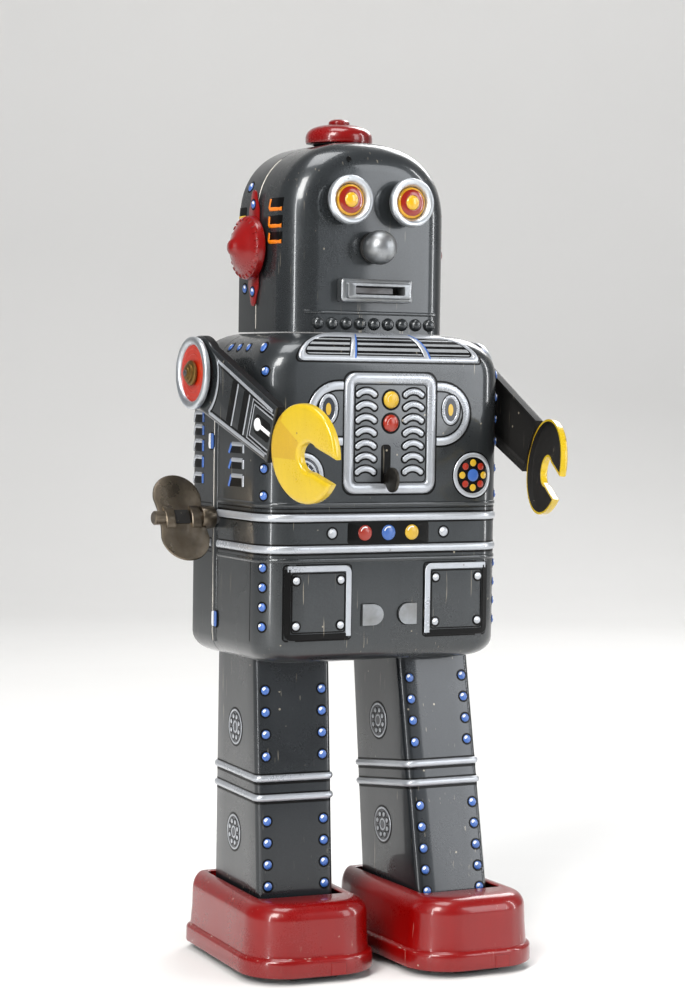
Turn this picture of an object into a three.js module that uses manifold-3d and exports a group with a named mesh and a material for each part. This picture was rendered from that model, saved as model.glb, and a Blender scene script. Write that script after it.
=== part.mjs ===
// Clockwork tinplate walking robot, about 239 mm tall: pressed shells round a spring motor, with swinging legs.
// Millimetres, +Z up, the robot faces -Y, and its own left hand is on +X.
// Working frame of this file: x = 0 is the robot's middle plane, y = 0 the flat front of the torso and
// z = 0 the ground. The last lines move that frame to the middle of the bounding box.
import * as THREE from "three";
import { mergeVertices } from "three/addons/utils/BufferGeometryUtils.js";
import Module from "manifold-3d";

const wasm = await Module();
wasm.setup();

// ---------------------------------------------------------------- driving dimensions
const SHEET = 0.6; // tinplate thickness
const GAP = 0.3; // clearance between touching pieces
const CORNER_STEPS = 4; // facets in a rounded corner
const EDGE_STEPS = 3; // facets in a rounded edge
const ROUND = 16; // facets around a round piece

const SEAM_Y = 33.5; // plane where the torso's front and back shells meet
const TORSO = {
  halfWidth: 38, back: 49, bottom: 86.2, top: 177.2,
  corner: 9, rearCorner: 2.5, // radii of the upright corners
  sill: 5.5, shoulder: 12, brow: 9, // radii of the rounded edges below, at the sides above, at the front above
};
const HEAD = {
  halfWidth: 26, front: 11.5, back: 45.5, bottom: 177.6, spring: 209, top: 231.5,
  round: 9, rearRound: 2, seam: 33, // radii of the front and the rear edge
};
const HEAD_ARCH = 2.4; // exponent of the superelliptic arch over the head

const EYE = { x: 9.74, z: 214.3, ring: 6.9, lens: 4.3, depth: 5.2 };
const NOSE = { z: 201.5, radius: 4.7, centre: 3.7 };
const MOUTH = { z: 189.4, halfWidth: 11.3, halfHeight: 3.2, depth: 4.6, slotHalf: 7.7, slotHeight: 2.2 };
const EAR = { y: 33.3, z: 201.3, radius: 9.1, reach: 7.4 };
const CROWN = { y: 33, radius: 9.6, rim: 232.2, top: 239.1 };

const PANEL = { halfWidth: 14.5, bottom: 133.2, top: 166.6, raise: 0.8 };
const HATCH = { x: 21.9, z: 103.2, half: 9.5, raise: 0.6 };
const START = { x: -1.4, z: 137, slotBottom: 132.6, slotTop: 148, halfSlot: 0.9, paddle: 3.5 };

const SHOULDER = { y: 31.5, z: 165.7, plane: 44.5 }; // arm pivot and the outer face of the arm
const ARM = { disc: 10.5, elbowHalf: 9.5, wrist: 45, wristHalf: 7.9, claw: 13.3, reach: 59, flange: 3 };
const ARM_DROP = { right: 20.9, left: 25 }; // degrees below level in the rest pose
const ARM_TOE_IN = 2.5; // degrees that the arm leans towards the middle
const CLAW_TOE_IN = 11; // degrees more that the claw is bent at the wrist
const JAW = { hole: 3.9, mouth: 3.5, shift: 2.6 }; // a round hole just past the claw's middle, and its mouth

const LEG = {
  x: 21.8, halfWidth: 11.4, back: 15.5, corner: 2, top: 103.6, bottom: 8.5,
  front: 13.9, flareTop: 89, toe: 20.4, // the front wall runs forward from flareTop down to `toe` at the bottom
};
const LEG_TURN = { left: -1, right: -4.3 }; // degrees that each leg and its foot are turned
const HIP = { y: 26.6, z: 97, shaft: 1.5, shaftHalf: 35.5 };
const LEG_OPENING = { halfWidth: 13.2, front: 19.3, back: 17.8, rise: 6.5 }; // in the torso floor, from the hip
const NEUTRAL_SWING = 3.35; // degrees forward at mid-stride
const REST_SWING = 3.65; // degrees that each leg stands away from mid-stride
const ANKLE = { drop: 85, pin: 1.2 };
const LEG_NOTCH = { y: 10, z: -82 }; // the leg's end walls stop here, clear of the rollers
const FOOT = {
  halfWidth: 19.5, halfLength: 29.5, forward: 8.5, skirt: 2.2, step: 6.6, top: 21.5, corner: 13, heelCorner: 6.5,
};
const FOOT_OPENING = { halfWidth: 12.2, front: 21.8, back: 18.8 }; // round the leg, from the ankle
const ROLLER = { radius: 3.7, width: 13, reach: 23 };
const ROLLER_Y = [-FOOT.forward - ROLLER.reach, -FOOT.forward + ROLLER.reach];

const KEY = { y: 31.5, z: 125.2, inner: -41.5, outer: -56.5, wing: 13.5, turn: 30, shaftEnd: -57.6 };
const MODULE = 0.6; // gear tooth module
const GREAT_TEETH = 46;
const PINION_TEETH = 12;
const CRANK = { y: 18, z: 114.2, disc: 5, throw: 3.2, shaft: 1.2 };
const PLATE = { x: 7.2, thick: 0.8, front: 8.5, back: 44.5, bottom: 91, top: 150 };

// Middle of the bounding box in the working frame: the part's origin is there, at ground level.
const CENTRE = { x: -4.721, y: 6.414 };

// ---------------------------------------------------------------- finishes
const finish = (color, roughness, metalness) => new THREE.MeshStandardMaterial({ color, roughness, metalness });
const paint = {
  body: () => finish(0x4b4e50, 0.38, 0.45),
  leg: () => finish(0x3f4143, 0.42, 0.4),
  red: () => finish(0x9a0f0c, 0.18, 0.05),
  orange: () => finish(0xc8280a, 0.35, 0.1),
  amber: () => finish(0xcd870f, 0.15, 0),
  tin: () => finish(0xaab0b4, 0.3, 0.85),
  steel: () => finish(0x8b8d90, 0.38, 0.9),
  brass: () => finish(0x9c8048, 0.4, 0.9),
  gunmetal: () => finish(0x6a5f50, 0.35, 0.9),
};

// ---------------------------------------------------------------- solids and booleans
const rad = THREE.MathUtils.degToRad;

// A closed geometry as a manifold solid.
function solid(geometry) {
  const bare = geometry.index ? geometry.toNonIndexed() : geometry.clone();
  bare.deleteAttribute("normal");
  bare.deleteAttribute("uv");
  const merged = mergeVertices(bare, 1e-4);
  return new wasm.Manifold(
    new wasm.Mesh({
      numProp: 3,
      vertProperties: new Float32Array(merged.attributes.position.array),
      triVerts: new Uint32Array(merged.index.array),
    }),
  );
}

// A manifold solid back as a three.js geometry.
function geometryOf(manifold) {
  const mesh = manifold.getMesh();
  return new THREE.BufferGeometry()
    .setAttribute("position", new THREE.BufferAttribute(mesh.vertProperties, 3))
    .setIndex(new THREE.BufferAttribute(mesh.triVerts, 1));
}

const union = (first, ...rest) => rest.reduce((sum, next) => sum.add(next), first);
const cut = (first, ...rest) => rest.reduce((sum, next) => sum.subtract(next), first);

function box(x0, x1, y0, y1, z0, z1) {
  const g = new THREE.BoxGeometry(x1 - x0, y1 - y0, z1 - z0);
  return solid(g.translate((x0 + x1) / 2, (y0 + y1) / 2, (z0 + z1) / 2));
}

// A cylinder along X between two x values.
function rodX(x0, x1, y, z, radius, sides = ROUND) {
  const g = new THREE.CylinderGeometry(radius, radius, Math.abs(x1 - x0), sides);
  return solid(g.rotateZ(Math.PI / 2).translate((x0 + x1) / 2, y, z));
}

// A turned shape: the profile lists [radius, height] pairs and starts and ends on the axis.
function turned(profile, sides = ROUND) {
  return new THREE.LatheGeometry(profile.map(([r, h]) => new THREE.Vector2(r, h)), sides);
}
const turnedAlong = {
  "-y": (profile, x, y, z, sides) => solid(turned(profile, sides).rotateX(Math.PI).translate(x, y, z)),
  "+x": (profile, x, y, z, sides) => solid(turned(profile, sides).rotateZ(-Math.PI / 2).translate(x, y, z)),
  "-x": (profile, x, y, z, sides) => solid(turned(profile, sides).rotateZ(Math.PI / 2).translate(x, y, z)),
  "+z": (profile, x, y, z, sides) => solid(turned(profile, sides).rotateX(Math.PI / 2).translate(x, y, z)),
};

// Skin over a row of rings that have equally many points, closed with a fan at each end.
function loft(rings) {
  const count = rings[0].length;
  const centre = (ring) => [0, 1, 2].map((k) => ring.reduce((sum, p) => sum + p[k], 0) / count);
  const points = rings.flat().concat([centre(rings[0]), centre(rings[rings.length - 1])]);
  const last = (rings.length - 1) * count;
  const faces = [];
  for (let j = 0; j < count; j++) {
    const next = (j + 1) % count;
    faces.push([points.length - 2, next, j], [points.length - 1, last + j, last + next]);
    for (let i = 0; i < last; i += count) {
      faces.push([i + j, i + next, i + count + next], [i + j, i + count + next, i + count + j]);
    }
  }
  const at = (i) => new THREE.Vector3(...points[i]);
  const volume = faces.reduce((sum, [a, b, c]) => sum + at(a).dot(at(b).cross(at(c))), 0);
  if (volume < 0) faces.forEach((f) => f.reverse());
  const g = new THREE.BufferGeometry();
  g.setAttribute("position", new THREE.BufferAttribute(new Float32Array(points.flat()), 3));
  g.setIndex(faces.flat());
  return solid(g);
}

// Level ring of a rounded rectangle.
function levelRing(z, left, right, front, back, corner, rear = corner) {
  const centres = [
    [right - corner, front + corner, -90, corner],
    [right - rear, back - rear, 0, rear],
    [left + rear, back - rear, 90, rear],
    [left + corner, front + corner, 180, corner],
  ];
  return centres.flatMap(([x, y, start, r]) =>
    Array.from({ length: CORNER_STEPS + 1 }, (_, i) => {
      const a = rad(start + (90 * i) / CORNER_STEPS);
      return [x + r * Math.cos(a), y + r * Math.sin(a), z];
    }),
  );
}

// How far an edge rounded at `radius` is drawn in at `distance` from the face it runs into.
const drawnIn = (distance, radius) =>
  distance >= radius ? 0 : radius - Math.sqrt(Math.max(0, radius ** 2 - (radius - distance) ** 2));

// Heights of the facets of an edge rounded at `radius`, from its start (0) to its end (radius).
const edgeHeights = (radius, steps) =>
  Array.from({ length: steps + 1 }, (_, i) => radius * Math.sin(rad((90 * i) / steps)));

// Flat outline in the YZ plane, extruded along X from x0 to x1.
function plateX(outline, x0, x1) {
  const shape = new THREE.Shape(outline.map(([y, z]) => new THREE.Vector2(y, z)));
  const g = new THREE.ExtrudeGeometry(shape, { depth: x1 - x0, bevelEnabled: false, steps: 1 });
  const toRow = new THREE.Matrix4().set(0, 0, 1, x0, 1, 0, 0, 0, 0, 1, 0, 0, 0, 0, 0, 1);
  return solid(g.applyMatrix4(toRow));
}

const circle = (y, z, radius, sides = ROUND) =>
  Array.from({ length: sides }, (_, i) => {
    const a = (2 * Math.PI * i) / sides;
    return [y + radius * Math.cos(a), z + radius * Math.sin(a)];
  });

// ---------------------------------------------------------------- the model's tree
const model = new THREE.Group();

function add(group, name, shape, material) {
  const mesh = new THREE.Mesh(geometryOf(shape), material);
  mesh.name = name;
  group.add(mesh);
}

// ---------------------------------------------------------------- torso
// The closed form of the torso, drawn in by `inset` all round.
function torsoForm(inset) {
  const bottom = TORSO.bottom + inset;
  const top = TORSO.top - inset;
  const sill = TORSO.sill - inset;
  const shoulder = TORSO.shoulder - inset;
  const brow = TORSO.brow - inset;
  const lower = edgeHeights(sill, EDGE_STEPS).reverse().map((h) => bottom + sill - h);
  const upper = edgeHeights(shoulder, EDGE_STEPS + 1).map((h) => top - shoulder + h);
  return loft(
    [...lower, ...upper].map((z) => {
      const foot = drawnIn(z - bottom, sill);
      const side = TORSO.halfWidth - inset - foot - drawnIn(top - z, shoulder);
      const face = inset + foot + drawnIn(top - z, brow);
      return levelRing(z, -side, side, face, TORSO.back - face, TORSO.corner - inset, TORSO.rearCorner - inset);
    }),
  );
}

function legOpening(side) {
  const x = side * LEG.x;
  const { halfWidth, front, back, rise } = LEG_OPENING;
  return box(x - halfWidth, x + halfWidth, HIP.y - front, HIP.y + back, TORSO.bottom - 2, TORSO.bottom + rise);
}

function buildTorso() {
  let shell = cut(torsoForm(0), torsoForm(SHEET), legOpening(1), legOpening(-1));
  shell = union(
    shell,
    box(-PANEL.halfWidth, PANEL.halfWidth, -PANEL.raise, SHEET / 2, PANEL.bottom, PANEL.top),
    ...[-1, 1].map((s) =>
      box(s * HATCH.x - HATCH.half, s * HATCH.x + HATCH.half, -HATCH.raise, SHEET / 2,
        HATCH.z - HATCH.half, HATCH.z + HATCH.half),
    ),
  );
  shell = cut(
    shell,
    box(START.x - START.halfSlot, START.x + START.halfSlot, -2, 2, START.slotBottom, START.slotTop),
    rodX(-40, -30, KEY.y, KEY.z, 2.6),
    rodX(30, 40, SHOULDER.y, SHOULDER.z, 2.3),
    rodX(-40, -30, SHOULDER.y, SHOULDER.z, 2.3),
  );
  const front = box(-60, 60, -5, SEAM_Y - GAP / 2, 80, 185);
  const back = box(-60, 60, SEAM_Y + GAP / 2, 60, 80, 185);
  add(model, "torso_front_shell", shell.intersect(front), paint.body());
  add(model, "torso_back_shell", shell.intersect(back), paint.body());
}

// ---------------------------------------------------------------- head
// Upright arch outline of the head at one y, drawn in by `inset` at the sides and top.
function headRing(y, inset, bottom) {
  const half = HEAD.halfWidth - inset;
  const rise = HEAD.top - HEAD.spring - inset;
  const steps = 12;
  const arch = Array.from({ length: steps + 1 }, (_, i) => {
    const a = rad((180 * i) / steps);
    const power = (v) => Math.sign(v) * Math.abs(v) ** (2 / HEAD_ARCH);
    return [half * power(Math.cos(a)), y, HEAD.spring + rise * power(Math.sin(a))];
  });
  return [[-half, y, bottom], [half, y, bottom], ...arch];
}

function headForm(inset, bottom) {
  const round = HEAD.round - inset;
  const rear = HEAD.rearRound - inset;
  const front = edgeHeights(round, EDGE_STEPS).map((h) => HEAD.front + inset + round - h).reverse();
  const back = edgeHeights(rear, EDGE_STEPS).map((h) => HEAD.back - inset - rear + h);
  return loft(
    [...front, ...back].map((y) => {
      const drawn = Math.max(drawnIn(y - HEAD.front - inset, round), drawnIn(HEAD.back - inset - y, rear));
      return headRing(y, inset + drawn, bottom);
    }),
  );
}

function buildHead() {
  const shell = cut(headForm(0, HEAD.bottom), headForm(SHEET, HEAD.bottom - 1));
  const front = box(-30, 30, 0, HEAD.seam - GAP / 2, 170, 240);
  const back = box(-30, 30, HEAD.seam + GAP / 2, 60, 170, 240);
  add(model, "head_front_shell", shell.intersect(front), paint.body());
  add(model, "head_back_shell", shell.intersect(back), paint.body());
}

function buildFace() {
  const base = HEAD.front - GAP;
  const bezel = [
    [0, 0], [5, 0], [5, 2.4], [EYE.ring, 2.8], [EYE.ring, EYE.depth], [EYE.ring - 0.8, EYE.depth + 0.4],
    [EYE.lens + 0.4, 3], [EYE.lens + 0.4, 1.8], [0, 1.8],
  ];
  const lens = [[0, 0], [EYE.lens, 0], [EYE.lens, 1], [3.6, 1.6], [2.4, 2.1], [2.1, 2.9], [1.2, 3.3], [0, 3.4]];
  for (const [side, x] of [["left", EYE.x], ["right", -EYE.x]]) {
    add(model, "eye_bezel_" + side, turnedAlong["-y"](bezel, x, base, EYE.z, 18), paint.tin());
    add(model, "eye_lens_" + side, turnedAlong["-y"](lens, x, base - 1.8 - GAP / 2, EYE.z, 14), paint.amber());
  }
  const r = NOSE.radius;
  const start = Math.asin(NOSE.centre / r);
  const dome = Array.from({ length: 8 }, (_, i) => {
    const a = -start + ((Math.PI / 2 + start) * i) / 7;
    return [i === 7 ? 0 : r * Math.cos(a), NOSE.centre + r * Math.sin(a)];
  });
  add(model, "nose_dome", turnedAlong["-y"]([[0, 0], ...dome], 0, base, NOSE.z), paint.tin());

  const { z, halfWidth, halfHeight, depth, slotHalf, slotHeight } = MOUTH;
  const frame = cut(
    union(
      box(-halfWidth, halfWidth, base - depth + 1.4, base, z - halfHeight, z + halfHeight),
      box(-halfWidth + 1.2, halfWidth - 1.2, base - depth, base, z - halfHeight + 1, z + halfHeight - 1),
    ),
    box(-slotHalf, slotHalf, base - depth - 1, base + 1, z - slotHeight / 2, z + slotHeight / 2),
  );
  add(model, "mouth_frame", frame, paint.tin());
  const plateHalf = slotHeight / 2 - GAP;
  const plate = box(-slotHalf + GAP, slotHalf - 2.5, base - 2.2, base - 0.2, z - plateHalf, z + plateHalf);
  add(model, "mouth_plate", plate, paint.steel());
}

function buildEarsAndCrown() {
  const cone = [
    [0, 0], [EAR.radius, 0], [EAR.radius, 2.2], [7.9, 2.9],
    [5.6, 4.6], [2.6, 6.3], [1.2, EAR.reach], [0, EAR.reach],
  ];
  const bracketHalf = 16.5;
  for (const [side, s] of [["left", 1], ["right", -1]]) {
    const face = s * (HEAD.halfWidth + GAP);
    const inner = Math.min(face, face + s * 0.5);
    const points = [[EAR.y - 3, EAR.z - 11], [EAR.y, EAR.z - bracketHalf], [EAR.y + 3, EAR.z - 11],
      [EAR.y + 3, EAR.z + 11], [EAR.y, EAR.z + bracketHalf], [EAR.y - 3, EAR.z + 11]];
    add(model, "ear_bracket_" + side, plateX(points, inner, inner + 0.5), paint.red());
    const axis = s > 0 ? "+x" : "-x";
    add(model, "ear_" + side, turnedAlong[axis](cone, face + s * 0.8, EAR.y, EAR.z, 20), paint.red());
  }
  const dome = [[0, HEAD.top + 0.2], [4, HEAD.top + 0.2], [4, CROWN.rim], [CROWN.radius, CROWN.rim],
    [CROWN.radius, CROWN.rim + 2.2], [8.6, 236.2], [5.6, 237.3], [0, 237.6]];
  add(model, "crown_dome", turnedAlong["+z"](dome, 0, CROWN.y, 0, 20), paint.red());
  const button = [[0, 238.2], [3, 238.2], [2.6, 238.8], [0, CROWN.top]];
  add(model, "crown_button", turnedAlong["+z"](button, 0, CROWN.y, 0), paint.red());
}

// ---------------------------------------------------------------- start lever in the chest
function buildStartLever() {
  const half = START.halfSlot - GAP;
  const round = circle(-PANEL.raise - START.paddle, START.z, START.paddle);
  const paddle = plateX(round, START.x - half, START.x + half);
  const stem = box(START.x - half, START.x + half, -2.5, 4, START.z - 1.4, START.z + 1.4);
  const foot = box(START.x - 2, START.x + 2, 2.5, 4, START.z - 1.4, START.z + 1.4);
  add(model, "start_lever", union(paddle, stem, foot), paint.steel());
}

// ---------------------------------------------------------------- clockwork motor
// Outline of a spur gear with one tooth on the +Y side, turned by `phase` teeth.
function gearOutline(y, z, teeth, phase) {
  const pitch = (MODULE * teeth) / 2;
  const tooth = [[-0.34, -1.15], [-0.16, 0.8], [0.16, 0.8], [0.34, -1.15]];
  return Array.from({ length: teeth }, (_, i) =>
    tooth.map(([along, out]) => {
      const a = ((i + phase + along) * 2 * Math.PI) / teeth;
      const r = pitch + out * MODULE;
      return [y + r * Math.cos(a), z + r * Math.sin(a)];
    }),
  ).flat();
}

// Phase that puts a gear's tooth (0) or gap (0.5) on the line at angle `a`.
const phaseAt = (a, teeth, offset) => (a / (2 * Math.PI)) * teeth + offset;

function buildMotor() {
  for (const [side, s] of [["left", 1], ["right", -1]]) {
    const x0 = s > 0 ? PLATE.x : -PLATE.x - PLATE.thick;
    const sheet = box(x0, x0 + PLATE.thick, PLATE.front, PLATE.back, PLATE.bottom, PLATE.top);
    const holes = [[KEY.y, KEY.z, 2.3], [CRANK.y, CRANK.z, CRANK.shaft + GAP], [HIP.y, HIP.z, HIP.shaft + GAP]];
    const drills = holes.map(([y, z, r]) => rodX(x0 - 1, x0 + 2, y, z, r));
    add(model, "motor_plate_" + side, cut(sheet, ...drills), paint.steel());
  }
  const inner = PLATE.x - GAP;
  const pillars = { front: [12, 146], back: [41, 146], lower: [41, 101], middle: [12, 101] };
  for (const [name, [y, z]] of Object.entries(pillars))
    add(model, "motor_pillar_" + name, rodX(-inner, inner, y, z, 1.6, 12), paint.steel());

  const toCrank = Math.atan2(CRANK.z - KEY.z, CRANK.y - KEY.y);
  const great = gearOutline(KEY.y, KEY.z, GREAT_TEETH, phaseAt(toCrank, GREAT_TEETH, 0));
  add(model, "great_wheel", cut(plateX(great, -2.4, -1.4), rodX(-4, 0, KEY.y, KEY.z, 2.3)), paint.brass());
  const pinion = gearOutline(CRANK.y, CRANK.z, PINION_TEETH, phaseAt(toCrank + Math.PI, PINION_TEETH, 0.5));
  const bore = CRANK.shaft + GAP;
  add(model, "crank_pinion", cut(plateX(pinion, -2.8, -1), rodX(-4, 1, CRANK.y, CRANK.z, bore)), paint.brass());
  add(model, "crank_shaft", rodX(-12.2, 12.2, CRANK.y, CRANK.z, CRANK.shaft, 16), paint.steel());
  for (const [side, s] of [["left", 1], ["right", -1]]) {
    const [x0, x1] = s > 0 ? [10.4, 11.2] : [-11.2, -10.4];
    const [p0, p1] = s > 0 ? [11, 13.2] : [-13.2, -11];
    const disc = cut(rodX(x0, x1, CRANK.y, CRANK.z, CRANK.disc), rodX(x0 - 1, x1 + 1, CRANK.y, CRANK.z, bore));
    const pin = rodX(p0, p1, CRANK.y, CRANK.z + s * CRANK.throw, 0.9, 10);
    add(model, "crank_disc_" + side, union(disc, pin), paint.steel());
  }

  add(model, "winding_arbor", rodX(-46.5, 9, KEY.y, KEY.z, 2, 16), paint.steel());
  const ratchet = Array.from({ length: 16 }, (_, i) => [[6, 0], [4.9, 0.06]].map(([r, lag]) => {
    const a = (2 * Math.PI * (i + lag)) / 16;
    return [KEY.y + r * Math.cos(a), KEY.z + r * Math.sin(a)];
  })).flat();
  add(model, "ratchet_wheel", cut(plateX(ratchet, -5.4, -4.4), rodX(-7, -3, KEY.y, KEY.z, 2.3)), paint.steel());
  const click = [[-1, 6.6], [6.5, 9], [7.5, 10.8], [-0.2, 8.4]].map(([y, z]) => [KEY.y + y, KEY.z + z]);
  add(model, "ratchet_click", plateX(click, -5.4, -4.4), paint.steel());
  add(model, "mainspring", buildMainspring(), paint.gunmetal());
}

// Flat spiral spring round the winding arbor.
function buildMainspring() {
  const turns = 3.5;
  const steps = 40;
  const thick = 0.5;
  const along = (offset) => Array.from({ length: steps + 1 }, (_, i) => {
    const a = (2 * Math.PI * turns * i) / steps;
    const r = 3.4 + (7.4 * i) / steps + offset;
    return [KEY.y + r * Math.cos(a), KEY.z + r * Math.sin(a)];
  });
  return plateX([...along(thick), ...along(0).reverse()], 0.6, 5.8);
}

function buildKey() {
  const middle = (KEY.inner + KEY.outer) / 2;
  const halfX = (KEY.inner - KEY.outer) / 2;
  const outline = new THREE.Shape();
  const end = KEY.wing - halfX;
  outline.absarc(0, end, halfX, 0, Math.PI, false);
  outline.absarc(0, -end, halfX, Math.PI, 2 * Math.PI, false);
  const sheet = new THREE.ExtrudeGeometry(outline, { depth: 0.9, bevelEnabled: false, curveSegments: 8 });
  sheet.translate(0, 0, -0.45).rotateX(Math.PI / 2 - rad(KEY.turn)).translate(middle, KEY.y, KEY.z);
  const shaft = rodX(KEY.shaftEnd, KEY.inner + 0.5, KEY.y, KEY.z, 2.4, 4);
  const hub = rodX(KEY.inner - 2, KEY.inner + 2.4, KEY.y, KEY.z, 3.2, 12);
  const socket = rodX(KEY.shaftEnd + 9, KEY.inner + 4, KEY.y, KEY.z, 2.25, 16);
  add(model, "winding_key", cut(union(solid(sheet), shaft, hub), socket), paint.gunmetal());
}

// ---------------------------------------------------------------- arms
// Stamped channel: the outline at full size less the same outline drawn in by the sheet thickness.
// Local frame: pivot at the origin, outer face at x = 0, inside towards -x, the arm reaches along -y.
function channel(form) {
  return cut(form(0, -ARM.flange, 0), form(SHEET, -ARM.flange - 1, -SHEET));
}

function forearm(inset, x0, x1) {
  const disc = plateX(circle(0, 0, ARM.disc - inset, 18), x0, x1);
  const near = ARM.elbowHalf - inset;
  const far = ARM.wristHalf - inset;
  const end = -ARM.wrist - 3;
  const bar = plateX([[-4, near], [end, far], [end, -far], [-4, -near]], x0, x1);
  return union(disc, bar);
}

function claw(inset, x0, x1) {
  const y = ARM.wrist - ARM.reach;
  const hole = y - JAW.shift;
  const end = y - ARM.claw - 3;
  const half = JAW.mouth + inset;
  const jaw = union(
    plateX(circle(hole, 0, JAW.hole + inset, 12), x0 - 1, x1 + 1),
    plateX([[hole, -half], [end, -half], [end, half], [hole, half]].reverse(), x0 - 1, x1 + 1),
  );
  return cut(plateX(circle(y, 0, ARM.claw - inset, 20), x0, x1), jaw);
}

function armShell() {
  const hand = channel(claw).rotate([0, 0, -CLAW_TOE_IN]).translate([0, -ARM.wrist, 0]);
  const whole = union(channel(forearm), hand).rotate([0, 0, -ARM_TOE_IN]);
  return cut(whole, rodX(-5, 2, 0, 0, 2.3));
}

function buildArm(side, s) {
  const arm = new THREE.Group();
  arm.position.set(s * SHOULDER.plane, SHOULDER.y, SHOULDER.z);
  arm.rotation.x = rad(ARM_DROP[side]);
  const mirror = (shape) => (s > 0 ? shape : shape.mirror([1, 0, 0]));
  add(arm, "arm_shell_" + side, mirror(armShell()), paint.body());
  const rest = ARM.disc * Math.sin(rad(ARM_TOE_IN)) + GAP; // clears the leaning arm all round
  const disc = [[2.3, 0], [10.2, 0], [10.2, 1.1], [9.4, 1.6], [8.1, 1.3], [7.4, 0.6], [2.3, 0.6], [2.3, 0]];
  add(arm, "shoulder_disc_" + side, mirror(turnedAlong["+x"](disc, rest, 0, 0, 18)), paint.orange());
  const boss = [[0, 0.9], [3.5, 0.9], [3.5, 2.2], [2.4, 2.9], [0, 2.9]];
  add(arm, "shoulder_boss_" + side, mirror(turnedAlong["+x"](boss, rest, 0, 0, 16)), paint.brass());
  const inside = TORSO.halfWidth - SHOULDER.plane;
  const pin = union(
    rodX(inside - 2.2, rest + 0.6, 0, 0, 2, 16),
    rodX(inside - 2.8, inside - 1.6, 0, 0, 3, 16),
    rodX(inside + GAP, -1.6, 0, 0, 3.4, 16),
  );
  add(arm, "arm_pin_" + side, mirror(pin), paint.steel());
  model.add(arm);
}

// ---------------------------------------------------------------- legs
// Local frame: hip pivot at the origin, leg straight down, toes along -y.
function buildLeg(side, s, swing) {
  const leg = new THREE.Group();
  leg.position.set(s * LEG.x, HIP.y, HIP.z);
  leg.rotation.set(-rad(swing), 0, 0);
  const turn = (shape) => shape.rotate([0, 0, LEG_TURN[side]]);
  const { halfWidth: w, front, toe, back, corner } = LEG;
  const tube = (inset, over) => loft(
    [[LEG.bottom - over, toe], [LEG.flareTop, front], [LEG.top + over, front]].map(([z, reach]) =>
      levelRing(z - HIP.z, inset - w, w - inset, inset - reach, back - inset, corner - inset)));
  const hipHole = rodX(-16, 16, 0, 0, HIP.shaft + GAP, 16);
  const ankleHole = rodX(-16, 16, 0, -ANKLE.drop, ANKLE.pin + GAP, 16);
  const notch = [[-toe - 1, -LEG_NOTCH.y], [LEG_NOTCH.y, back + 1]].map(([y0, y1]) =>
    box(-w - 1, w + 1, y0, y1, -HIP.z, LEG_NOTCH.z));
  const shell = turn(cut(tube(0, 0), tube(SHEET, 1), ...notch));
  add(leg, "leg_shell_" + side, cut(shell, hipHole, ankleHole), paint.leg());

  const lean = CRANK.y - HIP.y;
  const rise = CRANK.z - HIP.z;
  const x = -s * (LEG.x - 14.4);
  const outline = [[-4, -9], [4, -9], [4.5, 3], [lean + 3.2, rise + 6], [lean - 3.2, rise + 6], [-4.5, 3]];
  const blade = plateX(outline, x - 0.4, x + 0.4);
  const slot = box(x - 2, x + 2, lean - 1.3, lean + 1.3, rise - 4.6, rise + 4.6);
  const lever = cut(blade, slot, rodX(x - 2, x + 2, 0, 0, HIP.shaft + GAP, 16));
  add(leg, "hip_lever_" + side, lever, paint.steel());
  model.add(leg);
}

// ---------------------------------------------------------------- feet
// Local frame: ankle pin at x = 0, y = 0, ground at z = 0, toes along -y.
function footRing(z, half, front, back) {
  const inset = FOOT.halfWidth - half;
  const [y0, y1] = [-FOOT.forward - front, -FOOT.forward + back];
  return levelRing(z, -half, half, y0, y1, FOOT.corner - inset, FOOT.heelCorner - inset);
}

// Outside of the foot from the skirt's hem to the domed top, drawn in by `inset`.
function footForm(inset, hem) {
  const w = FOOT.halfWidth - inset;
  const l = FOOT.halfLength - inset;
  const step = 1.1;
  const round = 3.8;
  const rings = [
    footRing(hem, w, l, l),
    footRing(FOOT.step - inset, w, l, l),
    footRing(FOOT.step + 0.7 - inset, w - step, l - step, l - step),
  ];
  for (const h of edgeHeights(round, EDGE_STEPS)) {
    const draw = step + 0.3 + drawnIn(round - h, round);
    rings.push(footRing(FOOT.top - round - inset + h, w - draw, l - draw, l - draw));
  }
  return loft(rings);
}

// Plate that closes the foot, with a window and two bearing ears for each roller.
function solePlate() {
  const low = FOOT.skirt + 0.5;
  const wide = FOOT.halfWidth - SHEET - GAP;
  const long = FOOT.halfLength - SHEET - GAP;
  const rings = [low, low + 0.8].map((z) => footRing(z, wide, long, long));
  const half = ROLLER.width / 2;
  let plate = loft(rings);
  for (const y of ROLLER_Y) {
    plate = cut(plate, box(-half - 0.6, half + 0.6, y - 4.4, y + 4.4, 0, 5));
    for (const x of [-half - 1.4, half + 1.4])
      plate = plate.add(box(x - 0.6, x + 0.6, y - 2, y + 2, low + 0.2, 6));
    plate = cut(plate, rodX(-half - 2.6, half + 2.6, y, ROLLER.radius, 0.9, 12));
  }
  return plate;
}

function roller(y) {
  const half = ROLLER.width / 2;
  const drum = rodX(-half, half, y, ROLLER.radius, ROLLER.radius, 16);
  return union(drum, rodX(-half - 2.2, half + 2.2, y, ROLLER.radius, 0.6, 10));
}

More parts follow.
